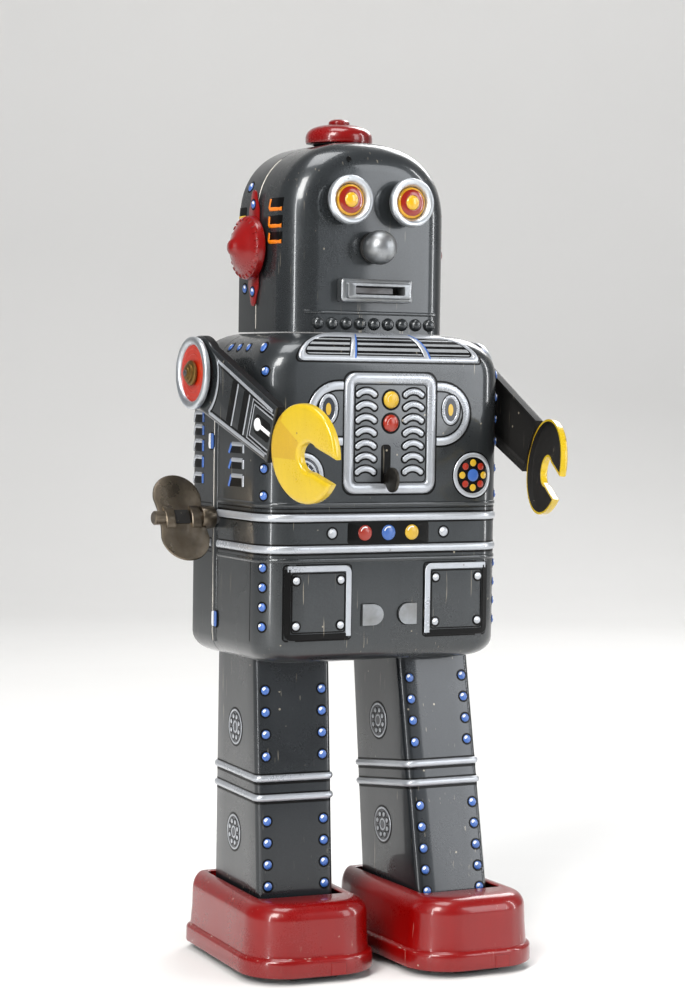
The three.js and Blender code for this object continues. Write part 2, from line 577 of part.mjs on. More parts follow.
function buildFoot(side, s, swing) {
  const foot = new THREE.Group();
  const ankleY = HIP.y - ANKLE.drop * Math.sin(rad(swing));
  const ankleZ = HIP.z - ANKLE.drop * Math.cos(rad(swing));
  foot.position.set(s * LEG.x, ankleY, 0);
  const turn = (shape) => shape.rotate([0, 0, LEG_TURN[side]]);
  const { halfWidth, front, back } = FOOT_OPENING;
  const opening = box(-halfWidth, halfWidth, -front, back, FOOT.step + 4, FOOT.top + 2);
  const upper = cut(footForm(0, FOOT.skirt), footForm(SHEET, FOOT.skirt - 1), opening);
  add(foot, "foot_upper_" + side, turn(upper), paint.red());

  const ears = [-14.6, 14.6].map((x) => box(x - 0.4, x + 0.4, -4, 4, FOOT.skirt + 0.7, ankleZ + 3.4));
  const sole = cut(union(turn(solePlate()), ...ears), rodX(-17, 17, 0, ankleZ, ANKLE.pin + GAP, 16));
  add(foot, "sole_plate_" + side, sole, paint.steel());
  add(foot, "toe_roller_" + side, turn(roller(ROLLER_Y[0])), paint.steel());
  add(foot, "heel_roller_" + side, turn(roller(ROLLER_Y[1])), paint.steel());
  add(foot, "ankle_pin_" + side, rodX(-15.6, 15.6, 0, ankleZ, ANKLE.pin, 14), paint.steel());
  model.add(foot);
}

// ---------------------------------------------------------------- the whole robot
buildTorso();
buildHead();
buildFace();
buildEarsAndCrown();
buildStartLever();
buildMotor();
buildKey();
add(model, "hip_shaft", rodX(-HIP.shaftHalf, HIP.shaftHalf, HIP.y, HIP.z, HIP.shaft, 14), paint.steel());
buildArm("left", 1);
buildArm("right", -1);
buildLeg("left", 1, NEUTRAL_SWING + REST_SWING);
buildLeg("right", -1, NEUTRAL_SWING - REST_SWING);
buildFoot("left", 1, NEUTRAL_SWING + REST_SWING);
buildFoot("right", -1, NEUTRAL_SWING - REST_SWING);

model.position.set(-CENTRE.x, -CENTRE.y, 0);

export default model;
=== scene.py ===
import math

import bmesh
import bpy
from mathutils import Matrix, Vector


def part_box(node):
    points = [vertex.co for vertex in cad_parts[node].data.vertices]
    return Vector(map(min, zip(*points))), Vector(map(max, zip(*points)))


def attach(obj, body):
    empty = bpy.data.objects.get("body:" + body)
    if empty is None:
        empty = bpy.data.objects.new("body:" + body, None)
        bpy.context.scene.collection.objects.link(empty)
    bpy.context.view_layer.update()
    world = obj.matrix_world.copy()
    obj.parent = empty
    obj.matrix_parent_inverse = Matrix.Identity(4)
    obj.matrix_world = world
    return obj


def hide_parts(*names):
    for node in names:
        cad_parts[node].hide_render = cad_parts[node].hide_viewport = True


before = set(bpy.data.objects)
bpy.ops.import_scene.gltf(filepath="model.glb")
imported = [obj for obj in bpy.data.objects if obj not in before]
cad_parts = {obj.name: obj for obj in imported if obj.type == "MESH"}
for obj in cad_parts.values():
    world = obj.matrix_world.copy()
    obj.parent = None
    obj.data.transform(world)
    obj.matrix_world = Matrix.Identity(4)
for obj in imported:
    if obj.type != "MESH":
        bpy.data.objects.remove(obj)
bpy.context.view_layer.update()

# Looks of a clockwork tinplate walking robot. Lengths are in the robot's own millimetres: x = 0 is its middle
# plane, y = 0 the flat front of its torso, z = 0 the ground. It faces -Y and its left hand is on +X.
MM = 0.001
PANEL_RAISE = 0.8
torso_lo, torso_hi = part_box("torso_front_shell")
head_lo, head_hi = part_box("head_front_shell")
ORIGIN = Vector(((torso_lo.x + torso_hi.x) / 2, torso_lo.y + PANEL_RAISE * MM, 0))
SHEET = 0.6
SEAM_Y = (torso_hi.y - ORIGIN.y) / MM

HALF, BACK = 38.0, 49.0
BOTTOM, TOP = torso_lo.z / MM, torso_hi.z / MM
CORNER, REAR, SILL, SHOULDER, BROW = 9.0, 2.5, 5.5, 12.0, 9.0
BELT_Z = 122.2

HEAD_HALF, HEAD_FRONT, HEAD_BACK, HEAD_ROUND, HEAD_REAR = 26.0, 11.5, 45.5, 9.0, 2.0
HEAD_BOTTOM, HEAD_SPRING, HEAD_TOP, HEAD_SEAM = head_lo.z / MM, 209.0, head_hi.z / MM, 33.0
ARCH = 2.4
EAR_Y, EAR_Z, CROWN_Y = 33.3, 201.3, 33.0
EYE_X, EYE_Z, NOSE_Z, MOUTH_Z = 9.74, 214.3, 201.5, 189.4
HATCH_X, HATCH_Z, HATCH_HALF = 21.9, 103.2, 10.2
PANEL_LOW, PANEL_HIGH = 133.0, 166.5
WING_Z, DIAL_X, DIAL_Z = 155.2, 27.0, 138.0

LEG_X, HIP_Y, HIP_Z, ANKLE_DROP = 21.8, 26.6, 97.0, 85.0
LEG_TURN = {"left": -1.0, "right": -4.3}
SWING = {"left": 7.0, "right": -0.3}
ARM_DROP = {"left": 25.0, "right": 20.9}
SHOULDER_X, SHOULDER_Y, SHOULDER_Z, SHOULDER_R = 44.5, 31.5, 165.7, 10.5
ARM_LEAN, CLAW_BEND, WRIST = 2.5, 11, 45
CLAW_DEPTH = 0.72  # depth of the claw's rim as a share of the bar's
SIDES = {"left": 1, "right": -1}


# ---------------------------------------------------------------- materials
class Finish:
    """A node material whose pattern stays with the piece that wears it."""

    def __init__(self, name):
        self.mat = bpy.data.materials.new(name)
        self.mat.use_nodes = True
        self.tree = self.mat.node_tree
        self.bsdf = self.tree.nodes["Principled BSDF"]
        self.place = self.node("ShaderNodeTexCoord").outputs["Object"]

    def node(self, kind, links=None, **settings):
        made = self.tree.nodes.new(kind)
        for key, value in settings.items():
            setattr(made, key, value)
        for key, value in (links or {}).items():
            if isinstance(value, bpy.types.NodeSocket):
                self.tree.links.new(value, made.inputs[key])
            else:
                made.inputs[key].default_value = value
        return made

    def noise(self, scale, detail=3.0, stretch=(1, 1, 1)):
        spot = self.node("ShaderNodeMapping", {"Vector": self.place, "Scale": stretch}).outputs[0]
        return self.node("ShaderNodeTexNoise", {"Vector": spot, "Scale": scale,
                                                "Detail": detail}).outputs[0]

    def cells(self, scale):
        return self.node("ShaderNodeTexVoronoi", {"Vector": self.place, "Scale": scale}).outputs["Distance"]

    def span(self, value, low, high, to_low=0.0, to_high=1.0):
        return self.node("ShaderNodeMapRange", {"Value": value, "From Min": low, "From Max": high,
                                                "To Min": to_low, "To Max": to_high}).outputs[0]

    def times(self, a, b):
        return self.node("ShaderNodeMath", {0: a, 1: b}, operation="MULTIPLY").outputs[0]

    def plus(self, a, b):
        return self.node("ShaderNodeMath", {0: a, 1: b}, operation="ADD").outputs[0]

    def mix(self, share, a, b):
        links = {0: share, 6: a, 7: b}
        return self.node("ShaderNodeMix", links, data_type="RGBA").outputs[2]

    def set(self, **values):
        for key, value in values.items():
            socket = self.bsdf.inputs[key.replace("_", " ")]
            if isinstance(value, bpy.types.NodeSocket):
                self.tree.links.new(value, socket)
            else:
                socket.default_value = value


def linear(rgb):
    """A screen colour, 0 to 255, as the linear colour that a shader takes."""
    return tuple((c / 255) ** 2.2 for c in rgb) + (1.0,)


def dim(colour, share):
    return tuple(c * share for c in colour[:3]) + (1.0,)


def paint(name, colour, rough=0.32, metal=0.0, coat=0.0, mottle=0.18, grain=0.1, grain_mm=0.45,
          wear=(190, 180, 160), chips=0.5, scratches=0.35, streaks=0.1, bump=0.12, shine=0.5):
    """Printed or sprayed tin: mottled, grained, streaked, with chips, scratches and rubbed edges."""
    f = Finish(name)
    colour, wear = linear(colour), linear(wear)
    broad = f.noise(45, 4)
    fine = f.noise(1000 / grain_mm, 2)
    streak = f.noise(1, 3, (420, 420, 24))
    tone = f.mix(broad, dim(colour, 1 - mottle), dim(colour, 1 + mottle))
    tone = f.mix(f.times(f.span(fine, 0.35, 0.7), grain), tone, dim(colour, 2.4))
    tone = f.mix(f.times(f.span(streak, 0.4, 0.75), streaks), tone, dim(colour, 0.45))
    hair = f.span(f.noise(1, 2, (1500, 1500, 60)), 0.69, 0.72)
    patchy = f.span(f.noise(60, 2), 0.48, 0.6)
    tone = f.mix(f.times(f.times(hair, patchy), scratches), tone, wear)
    chip = f.times(f.span(f.cells(330), 0.12, 0.09), f.span(f.noise(120, 1), 0.64, 0.66))
    tone = f.mix(f.times(chip, chips), tone, wear)
    edge = f.node("ShaderNodeAttribute", attribute_name="edge").outputs["Fac"]
    rubbed = f.span(f.plus(edge, f.times(f.noise(500, 4), 0.8)), 1.22, 1.38)
    tone = f.mix(rubbed, tone, wear)
    rougher = f.plus(f.span(broad, 0.3, 0.7, rough - 0.05, rough + 0.07), f.times(fine, 0.08))
    height = f.plus(f.times(fine, 0.5), f.times(f.noise(160, 2), 1.0))
    normal = f.node("ShaderNodeBump", {"Height": height, "Strength": bump, "Distance": 0.0003}).outputs[0]
    f.set(Base_Color=tone, Roughness=rougher, Metallic=metal, Coat_Weight=coat, Coat_Roughness=0.07,
          Normal=normal, Specular_IOR_Level=shine)
    return f.mat


def bare(name, colour, dirt, rough=0.28, stain=0.4, stretch=(1, 1, 1), bump=0.15, coat=0.0):
    """Bare or plated metal: brushed, stained, with pits."""
    f = Finish(name)
    colour, dirt = linear(colour), linear(dirt)
    broad = f.noise(110, 5)
    brushed = f.noise(900, 2, stretch)
    tone = f.mix(f.times(f.span(broad, 0.42, 0.72), stain), colour, dirt)
    tone = f.mix(f.times(f.span(brushed, 0.4, 0.7), 0.22), tone, dim(colour, 0.55))
    pit = f.times(f.span(f.cells(520), 0.16, 0.08), f.span(f.noise(200, 1), 0.56, 0.62))
    tone = f.mix(f.times(pit, 0.6), tone, dim(dirt, 0.6))
    rougher = f.plus(f.span(broad, 0.3, 0.7, rough - 0.06, rough + 0.16), f.times(brushed, 0.1))
    height = f.plus(brushed, f.times(f.noise(260, 2), 0.8))
    normal = f.node("ShaderNodeBump", {"Height": height, "Strength": bump, "Distance": 0.0002}).outputs[0]
    f.set(Base_Color=tone, Roughness=rougher, Metallic=0.95, Coat_Weight=coat, Normal=normal)
    return f.mat


GREY = paint("litho_grey", (52, 55, 57), rough=0.25, metal=0.5, coat=0.6, grain=0.12)
ARM_GREY = paint("litho_arm_grey", (48, 51, 53), rough=0.25, metal=0.5, coat=0.6, grain=0.1)
ARM_RIM = paint("arm_rim_dark", (26, 26, 27), rough=0.5, shine=0.15, mottle=0.3, wear=(120, 100, 66))
LEG_GREY = paint("litho_leg_grey", (42, 45, 48), rough=0.25, metal=0.5, coat=0.6, grain=0.1)
FIELD = paint("print_field_grey", (84, 87, 90), rough=0.28, metal=0.3, coat=0.6, grain=0.12)
PALE_FIELD = paint("grille_grey", (150, 153, 156), rough=0.28, metal=0.3, coat=0.5, grain=0.12)
SHADE = paint("print_shade", (40, 44, 52), rough=0.3, metal=0.3, coat=0.5)
SILVER = paint("print_silver", (172, 176, 182), rough=0.26, metal=0.5, coat=0.3, mottle=0.14,
               grain=0.05, scratches=0.15, wear=(90, 80, 60))
BLACK = paint("print_black", (5, 5, 6), rough=0.4, coat=0.1, grain=0.03, mottle=0.3, scratches=0.2,
              shine=0.15)
WHITE = paint("print_white", (226, 228, 230), rough=0.3, coat=0.3, mottle=0.06, grain=0.02,
              wear=(120, 110, 90))
BLUE = paint("print_blue", (54, 94, 164), rough=0.3, coat=0.5, mottle=0.2, grain=0.05)
ORANGE = paint("print_orange", (216, 116, 20), rough=0.3, coat=0.3, mottle=0.12, grain=0.03)
YELLOW = paint("print_yellow", (196, 158, 38), rough=0.28, coat=0.4, mottle=0.14, grain=0.03)
LAMP_RED = paint("print_red", (150, 38, 14), rough=0.26, coat=0.5, mottle=0.2, grain=0.03)
RED = paint("red_lacquer", (120, 6, 5), rough=0.24, coat=0.5, shine=0.35, mottle=0.24, grain=0.03,
            scratches=0.2, bump=0.08, wear=(205, 190, 175))
DISC_RED = paint("shoulder_orange", (168, 38, 12), rough=0.36, coat=0.3, mottle=0.25, chips=0.8)
CLAW = paint("claw_yellow", (192, 162, 24), rough=0.24, coat=0.7, mottle=0.14, grain=0.03, chips=0.8,
             wear=(110, 90, 60))
# Darker copy of the claw yellow: painted shade on the claw's heel next to the wrist, where its facets turn
# away from the light.
CLAW_SHADED_YELLOW = paint("claw_yellow_painted_shade", (180, 144, 20), rough=0.26, coat=0.6, mottle=0.2, grain=0.05,
                  wear=(100, 80, 56))
INSIDE = paint("dark_inside", (30, 29, 28), rough=0.6, metal=0.3, mottle=0.35, grain=0.08)
EYE_RED = paint("eye_dark_red", (134, 30, 10), rough=0.18, coat=0.6, mottle=0.2, grain=0.02)
EYE_AMBER = paint("eye_amber", (208, 150, 22), rough=0.14, coat=0.6, mottle=0.25, grain=0.02, scratches=0.1)
EYE_YELLOW = paint("eye_yellow", (206, 158, 24), rough=0.14, coat=0.8, mottle=0.2, grain=0.02,
                   scratches=0.1)
# Pale line for the seam edges: worn bare tin, with the rolled edge's highlight painted in.
EDGE_WEAR_AND_HIGHLIGHT = paint("rubbed_edge_and_highlight", (176, 172, 164), rough=0.36, metal=0.6, mottle=0.4, grain=0.2)
TIN = bare("bare_tin", (206, 212, 218), (120, 112, 98), rough=0.27, stain=0.35)
SATIN_TIN = bare("satin_tin", (150, 153, 156), (92, 86, 76), rough=0.3, stain=0.5)
RING_TIN = bare("eye_ring_tin", (204, 209, 214), (150, 145, 135), rough=0.3, stain=0.3)
STEEL = bare("mill_steel", (122, 122, 124), (62, 52, 42), rough=0.34, stain=0.6, stretch=(1, 14, 14))
BRASS = bare("worn_brass", (140, 112, 66), (66, 50, 32), rough=0.32, stain=0.7)
BRONZE = bare("key_gunmetal", (122, 112, 98), (50, 40, 30), rough=0.25, stain=0.8, coat=0.3)
DARK_STEEL = bare("dark_steel", (70, 68, 64), (34, 30, 26), rough=0.34, stain=0.6)


# ---------------------------------------------------------------- mesh building
OPEN = (False, False)  # no fan over either end


class Piece:
    """One mesh, gathered in the robot's millimetres and built as one object."""

    def __init__(self, name, body, slot, *materials):
        self.name, self.body, self.slot, self.materials = name, body, slot, materials
        self.points, self.faces, self.finish, self.edges = [], [], [], []

    def add(self, points, faces, material=0, edge=0.0):
        start = len(self.points)
        self.points += [tuple(p) for p in points]
        self.edges += edge if isinstance(edge, list) else [edge] * len(points)
        self.faces += [tuple(start + i for i in face) for face in faces]
        self.finish += [material] * len(faces)

    def grid(self, rows, wrap=True, caps=(True, True), material=0, edges=None):
        """A skin over rows of equally many points, with a fan over each end that is capped."""
        n = len(rows[0])
        count = n if wrap else n - 1
        faces = [(i * n + j, i * n + (j + 1) % n, (i + 1) * n + (j + 1) % n, (i + 1) * n + j)
                 for i in range(len(rows) - 1) for j in range(count)]
        points = [p for row in rows for p in row]
        edge = [edges[i] if edges else 0.0 for i in range(len(rows)) for _ in range(n)]
        for wanted, row in zip(caps, (0, len(rows) - 1)):
            if wanted:
                centre = sum((Vector(p) for p in rows[row]), Vector()) / n
                faces += [(len(points), row * n + j, row * n + (j + 1) % n) for j in range(n)]
                points.append(tuple(centre))
                edge.append(0.0)
        self.add(points, faces, material, edge)

    def sheet(self, outer, inner, edges=None):
        """Tinplate: an outer and an inner skin of open rows, joined all round their rim."""
        n = len(outer[0])
        loops = [list(a) + list(b)[::-1] for a, b in zip(outer, inner)]
        self.grid(loops, caps=OPEN, edges=edges)
        last = (len(loops) - 1) * 2 * n
        start = len(self.points) - len(loops) * 2 * n
        for base in (start, start + last):
            rim = [(base + k, base + k + 1, base + 2 * n - 2 - k, base + 2 * n - 1 - k)
                   for k in range(n - 1)]
            self.faces += rim
            self.finish += [0] * len(rim)

    def build(self):
        """The object itself. One that has the name of a CAD node takes that node's place."""
        mesh = bpy.data.meshes.new(self.name)
        mesh.from_pydata([ORIGIN + Vector(p) * MM for p in self.points], [], self.faces)
        for material in self.materials:
            mesh.materials.append(material)
        mesh.polygons.foreach_set("material_index", self.finish)
        mesh.attributes.new("edge", "FLOAT", "POINT").data.foreach_set("value", self.edges)
        work = bmesh.new()
        work.from_mesh(mesh)
        bmesh.ops.remove_doubles(work, verts=work.verts, dist=2e-7)
        bmesh.ops.dissolve_degenerate(work, edges=work.edges, dist=1e-7)
        bmesh.ops.recalc_face_normals(work, faces=work.faces)
        work.to_mesh(mesh)
        work.free()
        mesh.polygons.foreach_set("use_smooth", [True] * len(mesh.polygons))
        mesh.set_sharp_from_angle(angle=math.radians(38))
        stands_in = self.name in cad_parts
        made = bpy.data.objects.new(self.name + "_looks" if stands_in else self.name, mesh)
        bpy.context.scene.collection.objects.link(made)
        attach(made, self.body)
        if stands_in:
            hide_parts(self.name)


def arc(cx, cy, radius, start, end, steps, other=None):
    """Points round a circle or, with a second radius, an ellipse. Angles are in degrees."""
    other = radius if other is None else other
    return [(cx + radius * math.cos(math.radians(start + (end - start) * i / steps)),
             cy + other * math.sin(math.radians(start + (end - start) * i / steps)))
            for i in range(steps + 1)]


def circle(steps):
    """Cosine and sine of that many equal steps round a circle."""
    return [(math.cos(2 * math.pi * k / steps), math.sin(2 * math.pi * k / steps)) for k in range(steps)]


def ring_path(cx, cy, radius, steps=32, other=None):
    return arc(cx, cy, radius, 0, 360, steps, other)[:-1]


def rounded_box(x0, x1, z0, z1, r, steps=5, along=1, top=None):
    """Closed outline of a rounded rectangle, with `along` points on each straight side."""
    t = r if top is None else top
    corners = [(x1 - r, z0 + r, -90, r), (x1 - t, z1 - t, 0, t), (x0 + t, z1 - t, 90, t),
               (x0 + r, z0 + r, 180, r)]
    path = []
    for i, (cx, cz, a, bend) in enumerate(corners):
        path += arc(cx, cz, bend, a, a + 90, steps)
        nx, nz, b, turn = corners[(i + 1) % 4]
        start, end = path[-1], arc(nx, nz, turn, b, b, 1)[0]
        path += [(start[0] + (end[0] - start[0]) * k / along,
                  start[1] + (end[1] - start[1]) * k / along) for k in range(1, along)]
    return path


def box_round(x, z, half, high, r, *more):
    """rounded_box about a middle point."""
    return rounded_box(x - half, x + half, z - high, z + high, r, *more)


def line(a, b, steps=8):
    return [(a[0] + (b[0] - a[0]) * i / steps, a[1] + (b[1] - a[1]) * i / steps) for i in range(steps + 1)]


def subdivided(points, steps=5):
    """A closed outline through the points, with that many steps on each side."""
    return [p for a, b in zip(points, points[1:] + points[:1]) for p in line(a, b, steps)[:-1]]


def cornered(points, r, steps=5):
    """The line through the points, with its corners rounded."""
    path = [points[0]]
    for a, b, c in zip(points, points[1:], points[2:]):
        p = [(b[i] + (a[i] - b[i]) * r / math.dist(a, b)) for i in (0, 1)]
        q = [(b[i] + (c[i] - b[i]) * r / math.dist(c, b)) for i in (0, 1)]
        path += line(path[-1], p, 6)[1:]
        path += [tuple((1 - t) ** 2 * p[i] + 2 * t * (1 - t) * b[i] + t * t * q[i] for i in (0, 1))
                 for t in (k / steps for k in range(1, steps + 1))]
    return path + line(path[-1], points[-1], 6)[1:]


def ribbon(piece, surface, path, width, height, closed=False, flat=False, material=0, base=0.0):
    """A raised line along a path on a surface: half round, or flat-topped as a printed line is."""
    if flat:
        section = [(-0.5, -0.04), (-0.42, height), (0.42, height), (0.5, -0.04)]
    else:
        section = [(-0.5 * math.cos(math.radians(a)), height * math.sin(math.radians(a)) - 0.04)
                   for a in (0, 30, 60, 90, 120, 150, 180)]
    rows = []
    n = len(path)
    for i, (u, v) in enumerate(path):
        before = path[(i - 1) % n] if closed else path[max(0, i - 1)]
        after = path[(i + 1) % n] if closed else path[min(n - 1, i + 1)]
        du, dv = after[0] - before[0], after[1] - before[1]
        size = math.hypot(du, dv) or 1.0
        nu, nv = -dv / size, du / size
        rows.append([surface(u + nu * s * width, v + nv * s * width, base + out) for s, out in section])
    if closed:
        rows.append(rows[0])
    piece.grid(rows, caps=(not closed, not closed), material=material)


def patch(piece, surface, outline, height, base=0.0):
    """A filled shape on a surface, with a small bevel round it."""
    n = len(outline)
    cu, cv = sum(p[0] for p in outline) / n, sum(p[1] for p in outline) / n
    rows = []
    for share, out in ((1.0, -0.05), (0.985, height), (0.66, height), (0.33, height)):
        rows.append([surface(cu + (u - cu) * share, cv + (v - cv) * share, base + out) for u, v in outline])
    piece.grid(rows)


def dome(piece, surface, u, v, radius, height, base=0.0, steps=18, lift=0.05):
    """A round cap on a surface, with a foot sunk a little into it."""
    rows = [[surface(u + radius * c, v + radius * s, base - 0.05) for c, s in circle(steps)]]
    for a in (math.radians(d) for d in (0, 20, 40, 60, 78)):
        reach, out = radius * math.cos(a), base + lift + height * math.sin(a)
        rows.append([surface(u + reach * c, v + reach * s, out) for c, s in circle(steps)])
    piece.grid(rows)


def turned(piece, place, profile, steps=40, material=0, edges=None):
    """A turned shape from its (radius, height) profile. place(x, y, height) puts it in the robot's frame."""
    rows = [[place(r * c, r * s, h) for c, s in circle(steps)] for r, h in profile]
    piece.grid(rows, material=material, edges=edges)


def on_surface(point_at):
    """Surface map (u, v, height above it) from a function that gives the bare surface point at (u, v)."""
    def place(u, v, out=0.0):
        step = 0.02
        p = Vector(point_at(u, v))
        across = Vector(point_at(u + step, v)) - Vector(point_at(u - step, v))
        up = Vector(point_at(u, v + step)) - Vector(point_at(u, v - step))
        return tuple(p + across.cross(up).normalized() * out)
    return place


def drawn_in(distance, radius):
    """How far a rounded edge lies inside the full width, at that distance from its end."""
    if distance >= radius:
        return 0.0
    return radius - math.sqrt(max(0.0, radius ** 2 - (radius - distance) ** 2))


def rounding(radius, steps):
    return [radius * math.sin(math.pi / 2 * i / steps) for i in range(steps + 1)]


# ---------------------------------------------------------------- torso
FLAT = HALF - CORNER  # half of the flat front
BEND = math.pi / 2 * CORNER  # length round a corner
SIDE_U = FLAT + BEND  # where the side starts, measured from the middle of the front
FLANK = BACK - CORNER - REAR
REAR_BEND = math.pi / 2 * REAR
AROUND = SIDE_U + FLANK + REAR_BEND + HALF - REAR  # the middle of the back


def torso_point(u, z):
    """Point of the torso's outside at the distance u round it from the middle of the front."""
    low, high = z - BOTTOM, TOP - z
    foot = drawn_in(low, SILL)
    side = HALF - foot - drawn_in(high, SHOULDER)
    face = foot + drawn_in(high, BROW)
    s, d = (1 if u >= 0 else -1), abs(u)
    if d <= FLAT:
        return (s * d * (side - CORNER) / FLAT, face, z)
    if d <= SIDE_U:
        a = (d - FLAT) / CORNER
        return (s * (side - CORNER + CORNER * math.sin(a)), face + CORNER * (1 - math.cos(a)), z)
    depth = BACK - 2 * face - CORNER - REAR
    if d <= SIDE_U + FLANK:
        return (s * side, face + CORNER + (d - SIDE_U) * depth / FLANK, z)
    if d <= SIDE_U + FLANK + REAR_BEND:
        a = (d - SIDE_U - FLANK) / REAR
        return (s * (side - REAR + REAR * math.cos(a)), BACK - face - REAR + REAR * math.sin(a), z)
    return (s * (side - REAR) * max(0.0, (AROUND - d) / (HALF - REAR)), BACK - face, z)


torso = on_surface(torso_point)
SEAM_U = SIDE_U + SEAM_Y - CORNER  # the front shell's edge


def torso_rows(inset, front):
    """Rows of points over the front or back shell, from the floor's inner edge over the top to the seam."""
    bottom, top = BOTTOM + inset, TOP - inset
    sill, shoulder, brow = SILL - inset, SHOULDER - inset, BROW - inset
    heights = [bottom + sill - h for h in rounding(sill, 7)] + [BELT_Z - 25, BELT_Z, BELT_Z + 22]
    heights += [top - shoulder + h for h in rounding(shoulder, 12)]
    gap = 0.15
    rows = []
    for z in sorted(heights):
        foot = drawn_in(z - bottom, sill)
        side = HALF - inset - foot - drawn_in(top - z, shoulder)
        face = inset + foot + drawn_in(top - z, brow)
        if front:
            r = CORNER - inset
            half = [(side, SEAM_Y - gap), (side, 22), (side, face + r + 4)]
            half += arc(side - r, face + r, r, 0, -90, 10)
            half += [((side - r) * share, face) for share in (0.75, 0.5, 0.25)]
            middle = [(0, face)]
        else:
            r, rear = REAR - inset, BACK - face
            half = [(side, SEAM_Y + gap), (side, rear - r - 3)]
            half += arc(side - r, rear - r, r, 0, 90, 10)
            half += [((side - r) * share, rear) for share in (0.7, 0.35)]
            middle = [(0, rear)]
        ring = [(-x, y) for x, y in half] + middle + half[::-1]
        rows.append([(x, y, z) for x, y in ring])
    seam = SEAM_Y - gap if front else SEAM_Y + gap
    reach = (HIP_Y - 19.3, seam) if front else (seam, HIP_Y + 17.8)
    floor = [(max(-35 + inset, min(35 - inset, x)), min(max(y, reach[0]), reach[1]), z)
             for x, y, z in rows[0]]
    lid = [(x, seam, z) for x, y, z in rows[-1]]
    return [floor] + rows + [lid]


def torso_shells():
    for name, front in (("torso_front_shell", True), ("torso_back_shell", False)):
        piece = Piece(name, "chassis", "litho_grey", GREY)
        outer, inner = torso_rows(0, front), torso_rows(SHEET, front)
        piece.sheet(outer, inner, edges=[0.35] + [0.0] * (len(outer) - 2) + [0.2])
        if front:
            bridge = [[(x, y, z) for x, z in ((-8.6, BOTTOM), (8.6, BOTTOM), (8.6, BOTTOM + SHEET),
                                              (-8.6, BOTTOM + SHEET))] for y in (7.3, HIP_Y + 17.8)]
            piece.grid(bridge)
        piece.build()
    # Along each seam: a grey lip either side and a thin pale line at the edge, which is worn bare tin with
    # the lip's highlight painted in.
    seam = Piece("torso_seam_edges", "chassis", "litho_grey", EDGE_WEAR_AND_HIGHLIGHT, GREY)
    for s in (1, -1):
        for off, width, height, material in ((-1.35, 2.3, 0.5, 1), (-0.1, 0.32, 0.34, 0),
                                             (0.65, 0.8, 0.3, 1)):
            u = s * (SEAM_U + off)
            ribbon(seam, torso, line((u, BOTTOM + 4), (u, TOP - 6), 30), width, height, material=material)
    seam.build()


class Prints:
    """The coloured prints of one body: a piece for each ink, all on the same surfaces."""

    def __init__(self, label, body, slot, surface=None):
        self.label, self.body, self.slot, self.surface, self.inks = label, body, slot, surface, {}

    def __getitem__(self, ink):
        if ink not in self.inks:
            name = self.label + "_" + ink.name
            self.inks[ink] = Piece(name, self.body, self.slot, ink)
        return self.inks[ink]

    def bead(self, ink, path, width, height, base=0.0, closed=False):
        ribbon(self[ink], self.surface, path, width, height, closed, base=base)

    def stripe(self, ink, path, width, height, base=0.0, closed=False):
        ribbon(self[ink], self.surface, path, width, height, closed, flat=True, base=base)

    def fill(self, ink, outline, height, base=0.0):
        patch(self[ink], self.surface, outline, height, base=base)

    def dot(self, ink, u, v, radius, height, base=0.0, steps=18, lift=0.05):
        dome(self[ink], self.surface, u, v, radius, height, base=base, steps=steps, lift=lift)

    def rivet(self, u, v, radius=1.12, head=BLUE):
        glint = 0.28 * radius
        self.dot(BLACK, u, v, radius + 0.5, 0.02, lift=0.03)
        self.dot(head, u, v, radius, 0.42, lift=0.08)
        self.dot(WHITE, u - glint, v + glint, radius * 0.5, 0.12, lift=0.36, steps=12)

    def build(self):
        for piece in self.inks.values():
            piece.build()


def belt(prints):
    for z in (BELT_Z + 4.3, BELT_Z - 4.4):
        away = 1 if z > BELT_Z else -1
        for u0, u1 in ((-SEAM_U + 2.6, SEAM_U - 2.6), (SEAM_U + 1.2, AROUND - 0.05),
                       (0.05 - AROUND, -SEAM_U - 1.2)):
            prints.bead(SILVER, line((u0, z), (u1, z), 90), 2.1, 0.55)
            for out, width in ((1.35, 0.6), (-1.3, 0.5), (2.5, 0.35)):
                level = z + away * out
                prints.stripe(BLACK, line((u0, level), (u1, level), 90), width, 0.05)
    for z in (BELT_Z + 7.9, BELT_Z - 7.4):
        prints.bead(GREY, line((-SEAM_U + 2.6, z), (SEAM_U - 2.6, z), 70), 1.3, 0.35)
    prints.fill(BLACK, box_round(0, BELT_Z, 13, 3.0, 0.8, 4, 10), 0.08)
    for x, ink in ((-7.43, LAMP_RED), (0, BLUE), (7.43, YELLOW)):
        prints.dot(ink, x, BELT_Z, 2.15, 0.5, base=0.08, steps=24)
        prints.bead(WHITE, arc(x, BELT_Z + 0.2, 1.35, 70, 170, 8), 0.45, 0.06, base=0.48)
    for s in (1, -1):
        prints.rivet(s * 17.68, BELT_Z, 1.35, SILVER)


